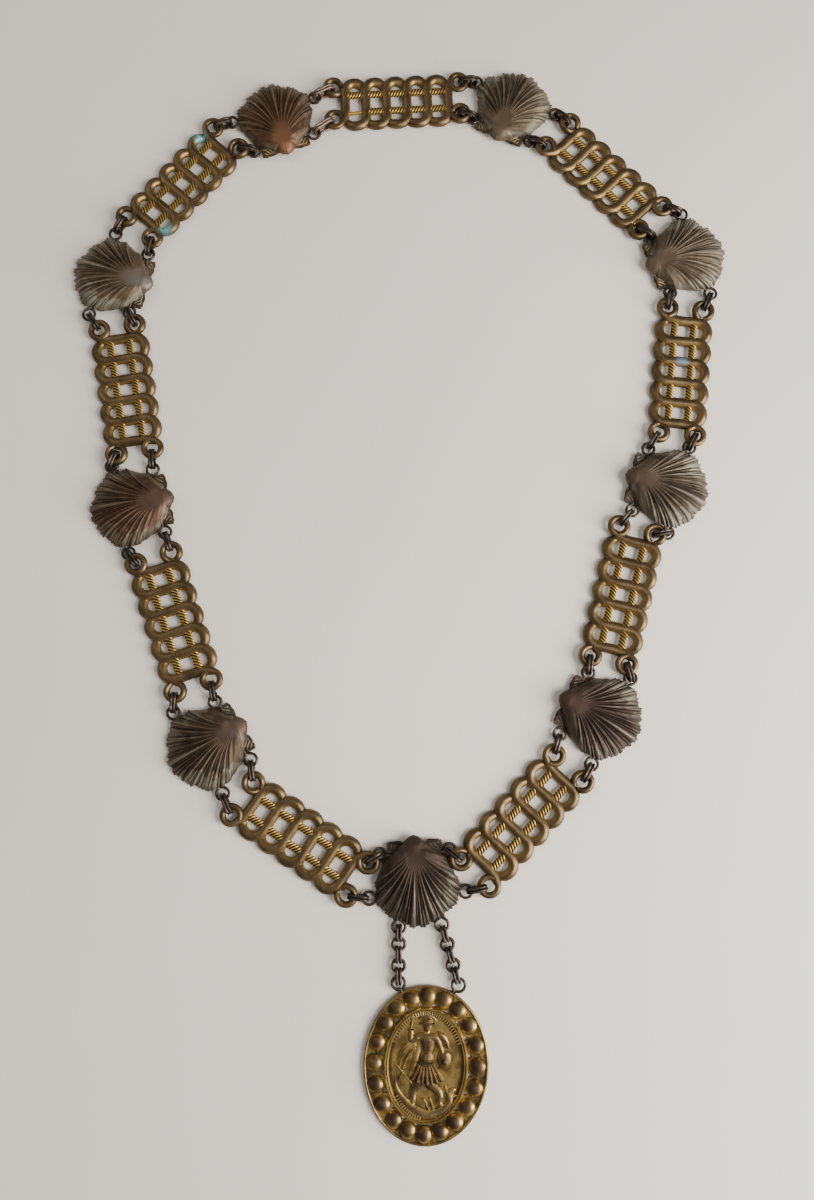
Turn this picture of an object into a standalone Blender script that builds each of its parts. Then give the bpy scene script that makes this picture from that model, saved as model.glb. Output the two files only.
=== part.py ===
# Medallion collar. Nine cast scallop shells and nine pierced knotwork plates make one closed loop.
# Pairs of double-wound oval links join them, and an oval medallion hangs from the bottom shell by
# two short chains. The collar lies on its back with +Z up and the medallion towards -Y.
import math

import bmesh
import bpy
from mathutils import Vector

MM = 0.001

# Gaps between a link and what it passes over or under, and how far soldered pieces run into each other
FIT_GAP = 0.3 * MM
LINK_PLAY = 0.25 * MM
SOLDER_BITE = 0.4 * MM

# Wire eyelets of the shells: a loop round a hole, with two legs soldered under the shell's edge
EYELET_WIRE = 1.0 * MM
EYELET_RADIUS = 2.05 * MM
EYELET_STEPS = 5
EYELET_OPENING = math.radians(70)
EYELET_TAPER = 0.5

# Knotwork plate: strands over two ropes, with a ring at each corner for the links
PLATE_WIDTH = 25.3 * MM
STRANDS = 6
STRAND_PITCH = 9.3 * MM
STRAND_WIDTH = 4.15 * MM
STRAND_HEIGHT = 2.3 * MM
ARCH_CENTRE_Y = PLATE_WIDTH / 2 - STRAND_PITCH / 2 - STRAND_WIDTH / 2
ARCH_STEPS = 3
TUCK_ANGLE = math.radians(36)
TUCK_SHARE = 0.5
TUCK_LIFT = 0.2 * MM
END_LEAN = 1.2 * MM
ROPE_Y = 4.15 * MM
ROPE_WIDTH = 2.75 * MM
ROPE_HEIGHT = 1.7 * MM
ROPE_LIFT = 0.2 * MM
RING_HOLE_RADIUS = 2.25 * MM
RING_BAND = 2.65 * MM
RING_HEIGHT = 2.0 * MM
RING_SIDES = 8
RING_LIFT = 0.7 * MM
RING_X = (STRANDS - 1) / 2 * STRAND_PITCH + RING_HOLE_RADIUS + RING_BAND
RING_Y = PLATE_WIDTH / 2 - RING_HOLE_RADIUS - RING_BAND

# Double-wound link: two turns of wire side by side, bent to an oval that stands on its edge
WIRE = 1.1 * MM
TURN_BITE = 0.1 * MM
LINK_LENGTH = 9.0 * MM
LINK_SLACK = 1.5 * MM
LINK_SHIFT = 0.25 * MM
LINK_WIDTH = 2 * WIRE - TURN_BITE
LINK_BOW_STEPS = 4

# Longer plain links at one side of shell_4
LONG_LINK_LENGTH = 11.4 * MM
LONG_WIRE = 1.2 * MM

# Heights: eyelets lie on the links' lower wires, rings over the eyelets, and links close over the rings
EYELET_Z = WIRE + LINK_PLAY + EYELET_WIRE / 2
RING_Z = EYELET_Z + EYELET_WIRE / 2 + LINK_PLAY
PLATE_LIFT = RING_Z - RING_LIFT
LINK_HEIGHT = RING_Z + RING_HEIGHT + FIT_GAP + WIRE

# Scallop shell: x across the fan, y towards the umbo
SHELL_WIDTH = 34.8 * MM
SHELL_LENGTH = 36.4 * MM
SHELL_HEIGHT = 7.6 * MM
SHELL_WALL = 1.2 * MM
UMBO_Y_SHARE = 0.62
UMBO_HEIGHT_SHARE = 0.93
RING_SHARES = (0.38, 0.78)
LOWER_RIM_SHARE = 0.965
HOLLOW_SHARE = 0.56

# One row for each rim point of the right half, from the umbo tip round to the bottom of the fan
# (x share of half the width, y share of half the length, then heights on the inner ring,
# on the outer ring and at the rim as shares of the shell's height)
RIM_ROWS = (
    (0.000, 1.000, 0.86, 0.72, 0.50),
    (0.200, 0.870, 0.84, 0.66, 0.40),
    (0.645, 0.840, 0.72, 0.50, 0.36),
    (0.635, 0.560, 0.80, 0.54, 0.34),
    (0.750, 0.450, 0.86, 0.48, 0.26),
    (0.930, 0.160, 0.92, 0.50, 0.22),
    (0.990, -0.170, 0.94, 0.62, 0.34),
    (0.950, -0.470, 0.98, 0.70, 0.34),
    (0.740, -0.700, 0.96, 0.62, 0.17),
    (0.420, -0.885, 1.00, 0.72, 0.22),
    (0.000, -1.000, 0.97, 0.66, 0.16),
)

# Where the shell's eyelets are soldered, and how far past the rim each hole's centre lies
# (x share of half the width, y share of half the length)
INNER_SPOT = (0.637, 0.615)
INNER_REACH = 2.9 * MM
INNER_LEG = 1.9 * MM
OUTER_SPOT = (0.972, -0.302)
OUTER_REACH = 2.5 * MM
OUTER_LEG = 1.4 * MM
INNER_EYELET = Vector((INNER_SPOT[0] * SHELL_WIDTH / 2 + INNER_REACH, INNER_SPOT[1] * SHELL_LENGTH / 2, 0))
OUTER_EYELET = Vector((OUTER_SPOT[0] * SHELL_WIDTH / 2 + OUTER_REACH, OUTER_SPOT[1] * SHELL_LENGTH / 2, 0))

# Chains: three double links with a flat ring between each two, soldered by age into one string
CHAIN_WIRE = 1.0 * MM
CHAIN_LINK_LENGTH = 7.1 * MM
CHAIN_LINK_HEIGHT = 4.2 * MM
CHAIN_LINK_GAP = 1.1 * MM
CHAIN_RING_RADIUS = 2.4 * MM
CHAIN_RING_SIDES = 10
CHAIN_RING_PITCH = CHAIN_LINK_LENGTH + CHAIN_LINK_GAP
CHAIN_BITE = 0.15 * MM
CHAIN_SLACK = 1.3 * MM

# Eyelets for the chains at the bottom shell's rim
# (x share of half the width, y share of half the length, how far below that the hole's centre lies)
LEFT_CHAIN_REACH = 1.7 * MM
RIGHT_CHAIN_REACH = 2.45 * MM
CHAIN_SPOTS = {
    "chain_left": (-0.477, -0.852, LEFT_CHAIN_REACH),
    "chain_right": (0.511, -0.833, RIGHT_CHAIN_REACH),
}
CHAIN_EYELET_LEG = 1.6 * MM
CHAIN_EYELET_Z = CHAIN_LINK_HEIGHT / 2

# Medallion: oval, flat at the back, with a border of domed bosses and a low relief in the field
MEDALLION_WIDTH = 49.2 * MM
MEDALLION_LENGTH = 59.7 * MM
MEDALLION_BASE = 1.5 * MM
MEDALLION_RIM = 2.5 * MM
RIM_BAND = 0.9 * MM
OVAL_STEPS = 28
BOSS_COUNT = 20
BOSS_RADIUS = 2.95 * MM
BOSS_GAP = 0.4 * MM
BOSS_INSET = RIM_BAND + BOSS_GAP + BOSS_RADIUS
BOSS_TOP = 4.0 * MM
FRAME_GAP = 1.1 * MM
FRAME_INSET = BOSS_INSET + BOSS_RADIUS + FRAME_GAP
FRAME_BAND = 1.4 * MM
FRAME_TOP = 2.7 * MM
FRAME_STEPS = 20

# Low relief in the field: a winged figure with a round shield, over a fallen creature
# (x share of half the width, y share of half the length, half length as a share of half the width,
# breadth as a share of length, turn in degrees)
RELIEF = (
    (0.00, 0.12, 0.36, 0.34, 92),
    (-0.33, 0.36, 0.20, 0.40, 125),
    (0.33, 0.36, 0.20, 0.40, 55),
    (0.36, 0.02, 0.15, 0.95, 0),
    (0.00, -0.44, 0.38, 0.34, 6),
)
RELIEF_TOP = 2.4 * MM
RELIEF_SIDES = 5

# Wire eyelets on the medallion's upper edge, and how the medallion lies from the bottom shell
MEDALLION_EYELET_SPREAD = 0.484
MEDALLION_EYELET_X = MEDALLION_EYELET_SPREAD * MEDALLION_WIDTH / 2
MEDALLION_EYELET_RISE = 4.28 * MM
MEDALLION_EDGE_Y = MEDALLION_LENGTH / 2 * math.sqrt(1 - MEDALLION_EYELET_SPREAD**2)
MEDALLION_EYELET_Y = MEDALLION_EDGE_Y + MEDALLION_EYELET_RISE
MEDALLION_EYELET_LEG = 3.0 * MM
MEDALLION_TURN = math.radians(-2)
MEDALLION_SHIFT = 3.6 * MM

# Length of one shell with one plate along the loop; the route is laid out in shares of it
MODULE = 2 * RING_X + INNER_EYELET.x + OUTER_EYELET.x + 2 * (LINK_LENGTH - LINK_SLACK)

# Route of the loop as it lies open: shell k, then plate k, going round from the bottom shell
# (x share, y share, heading in degrees; a shell heads where its umbo points, a plate along +x)
ROUTE = (
    (0.037, -1.090, 94),
    (-0.414, -0.932, -34),
    (-0.772, -0.578, 33),
    (-0.929, -0.089, -71),
    (-1.110, 0.379, 13),
    (-1.157, 0.874, -80),
    (-1.227, 1.365, -15),
    (-0.952, 1.787, -131),
    (-0.558, 2.078, -72),
    (-0.045, 2.166, -177),
    (0.447, 2.135, -114),
    (0.837, 1.817, 135),
    (1.165, 1.453, -163),
    (1.132, 0.951, 84),
    (1.052, 0.463, 164),
    (0.862, 0.018, 76),
    (0.754, -0.459, 154),
    (0.444, -0.862, 47),
)

for thing in list(bpy.data.objects):
    bpy.data.objects.remove(thing)

parts = bpy.data.collections.new("medallion collar")
bpy.context.scene.collection.children.link(parts)


def metal(name, colour, roughness):
    """A bare metal with the Principled shader."""
    material = bpy.data.materials.new(name)
    material.use_nodes = True
    shader = material.node_tree.nodes["Principled BSDF"]
    shader.inputs["Base Color"].default_value = (*colour, 1)
    shader.inputs["Metallic"].default_value = 1
    shader.inputs["Roughness"].default_value = roughness
    return material


bronze = metal("dark bronze", (0.16, 0.12, 0.09), 0.5)
brass = metal("brown brass", (0.42, 0.29, 0.13), 0.38)
dark_wire = metal("blackened wire", (0.11, 0.09, 0.08), 0.42)
copper_wire = metal("copper wire", (0.34, 0.22, 0.17), 0.4)
old_gold = metal("old gold brass", (0.45, 0.32, 0.11), 0.36)


def place(name, mesh, material=None):
    """An object of the given mesh in the collar's collection."""
    thing = bpy.data.objects.new(name, mesh)
    parts.objects.link(thing)
    if material and not mesh.materials:
        mesh.materials.append(material)
    return thing


def swept(path, section, closed=False, widths=None):
    """A mesh object: a flat section swept along a path of points, its x to the side and its y up."""
    rail = bpy.data.curves.new("rail", "CURVE")
    rail.dimensions = "3D"
    rail.twist_mode = "Z_UP"
    line = rail.splines.new("POLY")
    line.points.add(len(path) - 1)
    for point, at in zip(line.points, path):
        point.co = (*at, 1)
    if widths:
        for point, width in zip(line.points, widths):
            point.radius = width
    line.use_cyclic_u = closed
    shape = bpy.data.curves.new("section", "CURVE")
    outline = shape.splines.new("POLY")
    outline.points.add(len(section) - 1)
    for point, (x, y) in zip(outline.points, section):
        point.co = (x, y, 0, 1)
    outline.use_cyclic_u = True
    shape_object = place("section", shape)
    rail.bevel_mode = "OBJECT"
    rail.bevel_object = shape_object
    rail.use_fill_caps = True
    rail_object = place("rail", rail)
    seen = rail_object.evaluated_get(bpy.context.evaluated_depsgraph_get())
    mesh = bpy.data.meshes.new_from_object(seen)
    bpy.data.objects.remove(rail_object)
    bpy.data.objects.remove(shape_object)
    return closed_up(place("swept", mesh))


def closed_up(thing):
    """The same object with loose caps welded and every face turned outwards."""
    shape = bmesh.new()
    shape.from_mesh(thing.data)
    bmesh.ops.remove_doubles(shape, verts=shape.verts, dist=0.0001 * MM)
    bmesh.ops.recalc_face_normals(shape, faces=shape.faces)
    shape.to_mesh(thing.data)
    shape.free()
    return thing


def joined(name, pieces):
    """One mesh made of overlapping pieces, which are used up."""
    whole = pieces[0]
    for piece in pieces[1:]:
        union = whole.modifiers.new("join", "BOOLEAN")
        union.operation = "UNION"
        union.solver = "EXACT"
        union.object = piece
    seen = whole.evaluated_get(bpy.context.evaluated_depsgraph_get())
    mesh = bpy.data.meshes.new_from_object(seen)
    mesh.name = name
    for piece in pieces:
        bpy.data.objects.remove(piece)
    shape = bmesh.new()
    shape.from_mesh(mesh)
    bmesh.ops.dissolve_limit(shape, angle_limit=math.radians(0.3), verts=shape.verts, edges=shape.edges)
    shape.to_mesh(mesh)
    shape.free()
    return mesh


def on_arc(centre, radius, start, end, steps):
    """Points along an arc in the ground plane, both ends included."""
    turns = [start + (end - start) * step / steps for step in range(steps + 1)]
    return [centre + Vector((radius * math.cos(turn), radius * math.sin(turn), 0)) for turn in turns]


def double_section(wire, width):
    """Two turns of wire side by side: flat inside, with a groove between them outside."""
    return [
        (-wire / 2, -0.3 * width),
        (-wire / 2, 0.3 * width),
        (wire / 2, 0.5 * width),
        (0.25 * wire, 0),
        (wire / 2, -0.5 * width),
    ]


def round_section(wire, sides):
    """A plain wire."""
    turns = [2 * math.pi * (side + 0.5) / sides for side in range(sides)]
    return [(wire / 2 * math.cos(turn), wire / 2 * math.sin(turn)) for turn in turns]


def oval_link(length, height, wire, section):
    """A link lying flat along x, made of two half-round bows with straight sides between them."""
    bow = (height - wire) / 2
    reach = (length - height) / 2
    right = on_arc(Vector((reach, 0, 0)), bow, -math.pi / 2, math.pi / 2, LINK_BOW_STEPS)
    left = on_arc(Vector((-reach, 0, 0)), bow, math.pi / 2, 3 * math.pi / 2, LINK_BOW_STEPS)
    return swept(right + left, section, closed=True)


def eyelet(centre, inward, height, reach):
    """An open loop of wire round a hole, with two legs that run into the piece it is soldered to."""
    start = inward + EYELET_OPENING / 2
    end = inward + 2 * math.pi - EYELET_OPENING / 2
    loop = on_arc(centre, EYELET_RADIUS, start, end, EYELET_STEPS)
    leg = Vector((math.cos(inward), math.sin(inward), 0)) * reach
    path = [loop[0] + leg] + loop[1:-1] + [loop[-1] + leg]
    half = EYELET_WIRE / 2
    section = [(0, 0), (EYELET_WIRE, -half), (EYELET_WIRE, half)]
    widths = [EYELET_TAPER] + [1.0] * (len(path) - 2) + [EYELET_TAPER]
    return swept([at + Vector((0, 0, height)) for at in path], section, widths=widths)


# Shells
# Hollow, with ribs that fan out from the umbo to a jagged rim and a flat ear at each side of it.
def shell_wall():
    """The shell's wall, lofted from the umbo out to the rim and back beneath."""
    left_half = [(-x, y, *heights) for x, y, *heights in RIM_ROWS[-2:0:-1]]
    umbo = Vector((0, UMBO_Y_SHARE * SHELL_LENGTH / 2, 0))
    wall = bmesh.new()
    top = wall.verts.new(umbo + Vector((0, 0, UMBO_HEIGHT_SHARE * SHELL_HEIGHT)))
    under = wall.verts.new(top.co - Vector((0, 0, 1.2 * SHELL_WALL)))
    rays = []
    for x, y, inner, outer, rim in list(RIM_ROWS) + left_half:
        edge = Vector((x * SHELL_WIDTH / 2, y * SHELL_LENGTH / 2, 0))
        near, far = RING_SHARES
        share = (HOLLOW_SHARE - near) / (far - near)
        hollow = (inner + (outer - inner) * share) * SHELL_HEIGHT - 1.3 * SHELL_WALL
        ray = [umbo.lerp(edge, near) + Vector((0, 0, inner * SHELL_HEIGHT))]
        ray.append(umbo.lerp(edge, far) + Vector((0, 0, outer * SHELL_HEIGHT)))
        ray.append(edge + Vector((0, 0, rim * SHELL_HEIGHT)))
        ray.append(umbo.lerp(edge, LOWER_RIM_SHARE) + Vector((0, 0, rim * SHELL_HEIGHT - SHELL_WALL)))
        ray.append(umbo.lerp(edge, HOLLOW_SHARE) + Vector((0, 0, hollow)))
        rays.append([wall.verts.new(at) for at in ray])
    for ray, following in zip(rays, rays[1:] + rays[:1]):
        wall.faces.new((top, following[0], ray[0]))
        wall.faces.new((under, ray[-1], following[-1]))
        for step in range(len(ray) - 1):
            wall.faces.new((ray[step], following[step], following[step + 1], ray[step + 1]))
    mesh = bpy.data.meshes.new("shell wall")
    wall.to_mesh(mesh)
    wall.free()
    return closed_up(place("shell wall", mesh))


def mirrored(at):
    """The same place at the other side of the shell."""
    return Vector((-at.x, at.y, at.z))


def shell_mesh(name, chain_eyelets):
    """A shell with its four link eyelets and any eyelets for chains."""
    pieces = [shell_wall()]
    for centre, leg in ((INNER_EYELET, INNER_LEG), (OUTER_EYELET, OUTER_LEG)):
        pieces.append(eyelet(centre, math.pi, EYELET_Z, leg))
        pieces.append(eyelet(mirrored(centre), 0, EYELET_Z, leg))
    for centre in chain_eyelets:
        pieces.append(eyelet(centre, math.pi / 2, CHAIN_EYELET_Z, CHAIN_EYELET_LEG))
    mesh = joined(name, pieces)
    mesh.materials.clear()
    mesh.materials.append(bronze)
    return mesh


# Knotwork plates
# Each strand crosses the plate as a bar, and each of its ends arches over to tuck beneath the next bar.
def strand_path(index):
    """The points of one strand and its width at each, as a share of the full width."""
    x = (index - (STRANDS - 1) / 2) * STRAND_PITCH
    half = STRAND_PITCH / 2
    low = on_arc(Vector((x - half, -ARCH_CENTRE_Y, 0)), half, TUCK_ANGLE - math.pi, 0, ARCH_STEPS)
    high = on_arc(Vector((x + half, ARCH_CENTRE_Y, 0)), half, math.pi, TUCK_ANGLE, ARCH_STEPS)
    first, last = index == 0, index == STRANDS - 1
    if first:
        low = [Vector((x - END_LEAN, -RING_Y, 0)), Vector((x, -0.9 * ROPE_Y, 0))]
    if last:
        high = [Vector((x, 0.9 * ROPE_Y, 0)), Vector((x + END_LEAN, RING_Y, 0))]
    widths = [1.0] * (len(low) + len(high))
    if not first:
        low[0].z = TUCK_LIFT
        widths[0] = TUCK_SHARE
    if not last:
        high[-1].z = TUCK_LIFT
        widths[-1] = TUCK_SHARE
    return low + high, widths


def plate_mesh():
    """A whole plate, flat beneath."""
    side = STRAND_WIDTH / 2
    pieces = []
    for index in range(STRANDS):
        path, widths = strand_path(index)
        pieces.append(swept(path, [(-side, 0), (side, 0), (0, STRAND_HEIGHT)], widths=widths))
    end_x = (STRANDS - 1) / 2 * STRAND_PITCH + SOLDER_BITE
    side = ROPE_WIDTH / 2
    for y in (-ROPE_Y, ROPE_Y):
        path = [Vector((-end_x, y, ROPE_LIFT)), Vector((end_x, y, ROPE_LIFT))]
        pieces.append(swept(path, [(-side, 0), (side, 0), (0, ROPE_HEIGHT - ROPE_LIFT)]))
    for x in (-RING_X, RING_X):
        for y in (-RING_Y, RING_Y):
            path = on_arc(Vector((x, y, RING_LIFT)), RING_HOLE_RADIUS, 0, 2 * math.pi, RING_SIDES)[:-1]
            band = [(0, 0.5 * RING_HEIGHT), (RING_BAND, 0.05 * RING_HEIGHT), (0.6 * RING_BAND, RING_HEIGHT)]
            pieces.append(swept(path, band, closed=True))
    mesh = joined("knot plate", pieces)
    mesh.materials.clear()
    mesh.materials.append(brass)
    return mesh


# Chains
def chain_mesh(name):
    """A straight chain along x with its middle at the origin, fused into one body."""
    pieces = []
    section = double_section(CHAIN_WIRE, 2 * CHAIN_WIRE)
    for step in (-1, 0, 1):
        link = oval_link(CHAIN_LINK_LENGTH, CHAIN_LINK_HEIGHT, CHAIN_WIRE, section)
        link.rotation_euler.x = math.pi / 2
        link.location = (step * CHAIN_RING_PITCH, 0, CHAIN_LINK_HEIGHT / 2)
        pieces.append(link)
    half = CHAIN_WIRE / 2
    low = CHAIN_WIRE - CHAIN_BITE
    for side in (-1, 1):
        centre = Vector((side * CHAIN_RING_PITCH / 2, 0, low))
        first = 0.8 * math.pi / CHAIN_RING_SIDES
        path = on_arc(centre, CHAIN_RING_RADIUS, first, 2 * math.pi + first, CHAIN_RING_SIDES)[:-1]
        lower_sides = [(-half, half), (-0.5 * half, 0), (0.5 * half, 0), (half, half)]
        pieces.append(swept(path, lower_sides + [(0, CHAIN_WIRE)], closed=True))
    bpy.context.view_layer.update()
    mesh = joined(name, pieces[::-1])
    mesh.materials.clear()
    mesh.materials.append(dark_wire)
    return mesh


# Medallion
def oval(inset, steps):
    """Points round the medallion's outline, moved inwards."""
    turns = [2 * math.pi * step / steps for step in range(steps)]
    wide, long = MEDALLION_WIDTH / 2 - inset, MEDALLION_LENGTH / 2 - inset
    return [Vector((wide * math.cos(turn), long * math.sin(turn), 0)) for turn in turns]


def ring_wall(rows, steps):
    """A closed band round the oval: one row for each edge of its section, as (inset, height)."""
    band = bmesh.new()
    loops = []
    for inset, height in rows:
        loops.append([band.verts.new((at.x, at.y, height)) for at in oval(inset, steps)])
    for loop, following in zip(loops, loops[1:] + loops[:1]):
        for step in range(steps):
            after = (step + 1) % steps
            band.faces.new((loop[step], loop[after], following[after], following[step]))
    mesh = bpy.data.meshes.new("band")
    band.to_mesh(mesh)
    band.free()
    return closed_up(place("band", mesh))


def main_disc():
    """The medallion's flat back with its raised rim."""
    disc = bmesh.new()
    rows = ((0, 0), (0, MEDALLION_RIM), (RIM_BAND, MEDALLION_RIM), (RIM_BAND, MEDALLION_BASE))
    loops = []
    for inset, height in rows:
        loops.append([disc.verts.new((at.x, at.y, height)) for at in oval(inset, OVAL_STEPS)])
    for loop, following in zip(loops, loops[1:]):
        for step in range(OVAL_STEPS):
            after = (step + 1) % OVAL_STEPS
            disc.faces.new((loop[step], loop[after], following[after], following[step]))
    disc.faces.new(loops[0])
    disc.faces.new(loops[-1])
    mesh = bpy.data.meshes.new("disc")
    disc.to_mesh(mesh)
    disc.free()
    return closed_up(place("disc", mesh))


def cone(centre, low_radius, high_radius, low, high, sides, turn=0.0, squash=1.0):
    """A tapered peg with a flat top."""
    shape = bmesh.new()
    bmesh.ops.create_cone(
        shape, cap_ends=True, segments=sides, radius1=low_radius, radius2=high_radius, depth=high - low
    )
    mesh = bpy.data.meshes.new("peg")
    shape.to_mesh(mesh)
    shape.free()
    thing = place("peg", mesh)
    thing.location = (centre.x, centre.y, (low + high) / 2)
    thing.rotation_euler.z = turn
    thing.scale.y = squash
    return thing


def medallion_mesh():
    """The whole medallion, lying on its flat back."""
    pieces = [main_disc()]
    foot = MEDALLION_BASE - SOLDER_BITE
    for at in oval(BOSS_INSET, BOSS_COUNT):
        turn = math.atan2(at.y, at.x)
        pieces.append(cone(at, BOSS_RADIUS, 0.5 * BOSS_RADIUS, foot, BOSS_TOP, 6, turn))
    low, high = FRAME_INSET, FRAME_INSET + FRAME_BAND
    rows = ((low, foot), (low, FRAME_TOP), (high, FRAME_TOP), (high, foot))
    pieces.append(ring_wall(rows, FRAME_STEPS))
    for x, y, reach, squash, turn in RELIEF:
        at = Vector((x * MEDALLION_WIDTH / 2, y * MEDALLION_LENGTH / 2, 0))
        reach *= MEDALLION_WIDTH / 2
        pieces.append(cone(at, reach, 0.6 * reach, foot, RELIEF_TOP, RELIEF_SIDES, math.radians(turn), squash))
    for side in (-1, 1):
        centre = Vector((side * MEDALLION_EYELET_X, MEDALLION_EYELET_Y, 0))
        inward = math.atan2(-MEDALLION_EYELET_Y, -0.7 * side * MEDALLION_EYELET_X)
        pieces.append(eyelet(centre, inward, CHAIN_EYELET_Z, MEDALLION_EYELET_LEG))
    bpy.context.view_layer.update()
    mesh = joined("medallion", pieces)
    mesh.materials.clear()
    mesh.materials.append(old_gold)
    return mesh


# The loop, laid out along its route
def turned(at, heading):
    """A place given along a heading, in the ground plane."""
    along, across = math.cos(heading), math.sin(heading)
    return Vector((along * at.x - across * at.y, across * at.x + along * at.y, at.z))


spots = [(Vector((x * MODULE, y * MODULE, 0)), math.radians(heading)) for x, y, heading in ROUTE]
shell_spots = [(at, heading - math.pi / 2) for at, heading in spots[0::2]]
plate_spots = spots[1::2]

chain_eyelets = {}
for name, (x, y, below) in CHAIN_SPOTS.items():
    chain_eyelets[name] = Vector((x * SHELL_WIDTH / 2, y * SHELL_LENGTH / 2 - below, 0))
plain_shell = shell_mesh("shell", [])
bottom_shell = shell_mesh("bottom shell", chain_eyelets.values())
for number, (at, heading) in enumerate(shell_spots):
    shell = place(f"shell_{number}", plain_shell if number else bottom_shell)
    shell.location = at
    shell.rotation_euler.z = heading

plate_shape = plate_mesh()
for number, (at, heading) in enumerate(plate_spots):
    plate = place(f"knot_plate_{number}", plate_shape)
    plate.location = (at.x, at.y, PLATE_LIFT)
    plate.rotation_euler.z = heading

# Links, each centred between an eyelet and the plate's ring that faces it
link_shape = oval_link(LINK_LENGTH, LINK_HEIGHT, WIRE, double_section(WIRE, LINK_WIDTH))
link_shape.data.materials.append(dark_wire)
long_shape = oval_link(LONG_LINK_LENGTH, LINK_HEIGHT, LONG_WIRE, round_section(LONG_WIRE, 5))
long_shape.data.materials.append(copper_wire)
link_number = 0
for number, (plate_at, plate_heading) in enumerate(plate_spots):
    for end in (1, -1):
        shell_number = number if end == 1 else (number + 1) % len(shell_spots)
        shell_at, shell_heading = shell_spots[shell_number]
        for side, eye in ((1, INNER_EYELET), (-1, OUTER_EYELET)):
            ring = plate_at + turned(Vector((end * RING_X, side * RING_Y, 0)), plate_heading)
            hole = shell_at + turned(mirrored(eye) if end == 1 else eye, shell_heading)
            long = shell_number == 4 and end == 1
            link = place(f"link_{link_number}", (long_shape if long else link_shape).data)
            middle = (ring + hole) / 2 + (hole - ring).normalized() * LINK_SHIFT
            link.location = (middle.x, middle.y, LINK_HEIGHT / 2)
            link.rotation_euler = (math.pi / 2, 0, math.atan2(ring.y - hole.y, ring.x - hole.x))
            link_number += 1
bpy.data.objects.remove(link_shape)
bpy.data.objects.remove(long_shape)

# Medallion and its chains
bottom_at, bottom_heading = shell_spots[0]
medallion = place("medallion", medallion_mesh())
rim_y = sum(eye.y for eye in chain_eyelets.values()) / len(chain_eyelets)
chain_reach = 2 * CHAIN_RING_PITCH + CHAIN_LINK_LENGTH - CHAIN_SLACK
medallion_at = bottom_at + Vector((MEDALLION_SHIFT, rim_y - chain_reach - MEDALLION_EYELET_Y, 0))
medallion.location = medallion_at
medallion.rotation_euler.z = MEDALLION_TURN
chain_shape = chain_mesh("chain")
for name, eye in chain_eyelets.items():
    side = -1 if name == "chain_left" else 1
    upper = bottom_at + turned(eye, bottom_heading)
    lower = medallion_at + turned(Vector((side * MEDALLION_EYELET_X, MEDALLION_EYELET_Y, 0)), MEDALLION_TURN)
    chain = place(name, chain_shape)
    chain.location = (upper + lower) / 2
    chain.rotation_euler.z = math.atan2(lower.y - upper.y, lower.x - upper.x)

# Every piece hangs on one empty, moved so that the origin is beneath the middle of the collar
bpy.context.view_layer.update()
corners = [thing.matrix_world @ vertex.co for thing in parts.objects for vertex in thing.data.vertices]
lows = [min(corner[axis] for corner in corners) for axis in range(3)]
highs = [max(corner[axis] for corner in corners) for axis in range(3)]
carrier = bpy.data.objects.new("collar", None)
parts.objects.link(carrier)
carrier.location = (-(lows[0] + highs[0]) / 2, -(lows[1] + highs[1]) / 2, -lows[2])
for thing in list(parts.objects):
    if thing is not carrier:
        thing.parent = carrier
bpy.context.view_layer.update()
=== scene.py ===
import math

import bpy
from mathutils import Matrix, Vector


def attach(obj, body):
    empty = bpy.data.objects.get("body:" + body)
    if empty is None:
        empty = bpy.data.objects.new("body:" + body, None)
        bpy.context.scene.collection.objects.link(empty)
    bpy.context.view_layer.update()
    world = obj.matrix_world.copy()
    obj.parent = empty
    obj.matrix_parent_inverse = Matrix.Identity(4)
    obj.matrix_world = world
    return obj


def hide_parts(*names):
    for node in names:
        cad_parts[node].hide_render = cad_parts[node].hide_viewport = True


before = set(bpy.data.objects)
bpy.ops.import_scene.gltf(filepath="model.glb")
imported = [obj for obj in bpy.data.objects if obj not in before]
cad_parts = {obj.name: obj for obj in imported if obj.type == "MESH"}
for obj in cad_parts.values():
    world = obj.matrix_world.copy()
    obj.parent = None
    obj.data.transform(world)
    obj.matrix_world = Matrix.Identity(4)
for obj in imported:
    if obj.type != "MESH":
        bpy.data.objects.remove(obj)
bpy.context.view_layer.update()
MM = 0.001

# Floor, light and camera
# A plain pale floor, one large soft light from the right with a weak one opposite,
# and a camera almost straight above the collar.
FLOOR_SIZE = 3.0
CAMERA_PLACE = (3.3 * MM, -69.2 * MM, 395.5 * MM)
CAMERA_LEAN = math.radians(8)
CAMERA_LENS = 28.5
# The large light and the weak one: place, size, power and colour
LAMPS = (
    ((0.64, -0.26, 0.40), (0.45, 0.9), 22.0, (1.0, 0.985, 0.96)),
    ((-0.6, 0.5, 0.8), (0.9, 0.9), 3.0, (1.0, 1.0, 1.0)),
)
SKY_COLOUR = (0.94, 0.96, 1.0, 1)
SKY_STRENGTH = 0.36


class Value:
    """A socket of a finish. Sums written with it become Math nodes."""

    def __init__(self, finish, socket):
        self.finish = finish
        self.socket = socket

    def __add__(self, other):
        return self.finish.sum("ADD", self, other)

    def __radd__(self, other):
        return self.finish.sum("ADD", other, self)

    def __sub__(self, other):
        return self.finish.sum("SUBTRACT", self, other)

    def __rsub__(self, other):
        return self.finish.sum("SUBTRACT", other, self)

    def __mul__(self, other):
        return self.finish.sum("MULTIPLY", self, other)

    def __rmul__(self, other):
        return self.finish.sum("MULTIPLY", other, self)


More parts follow.
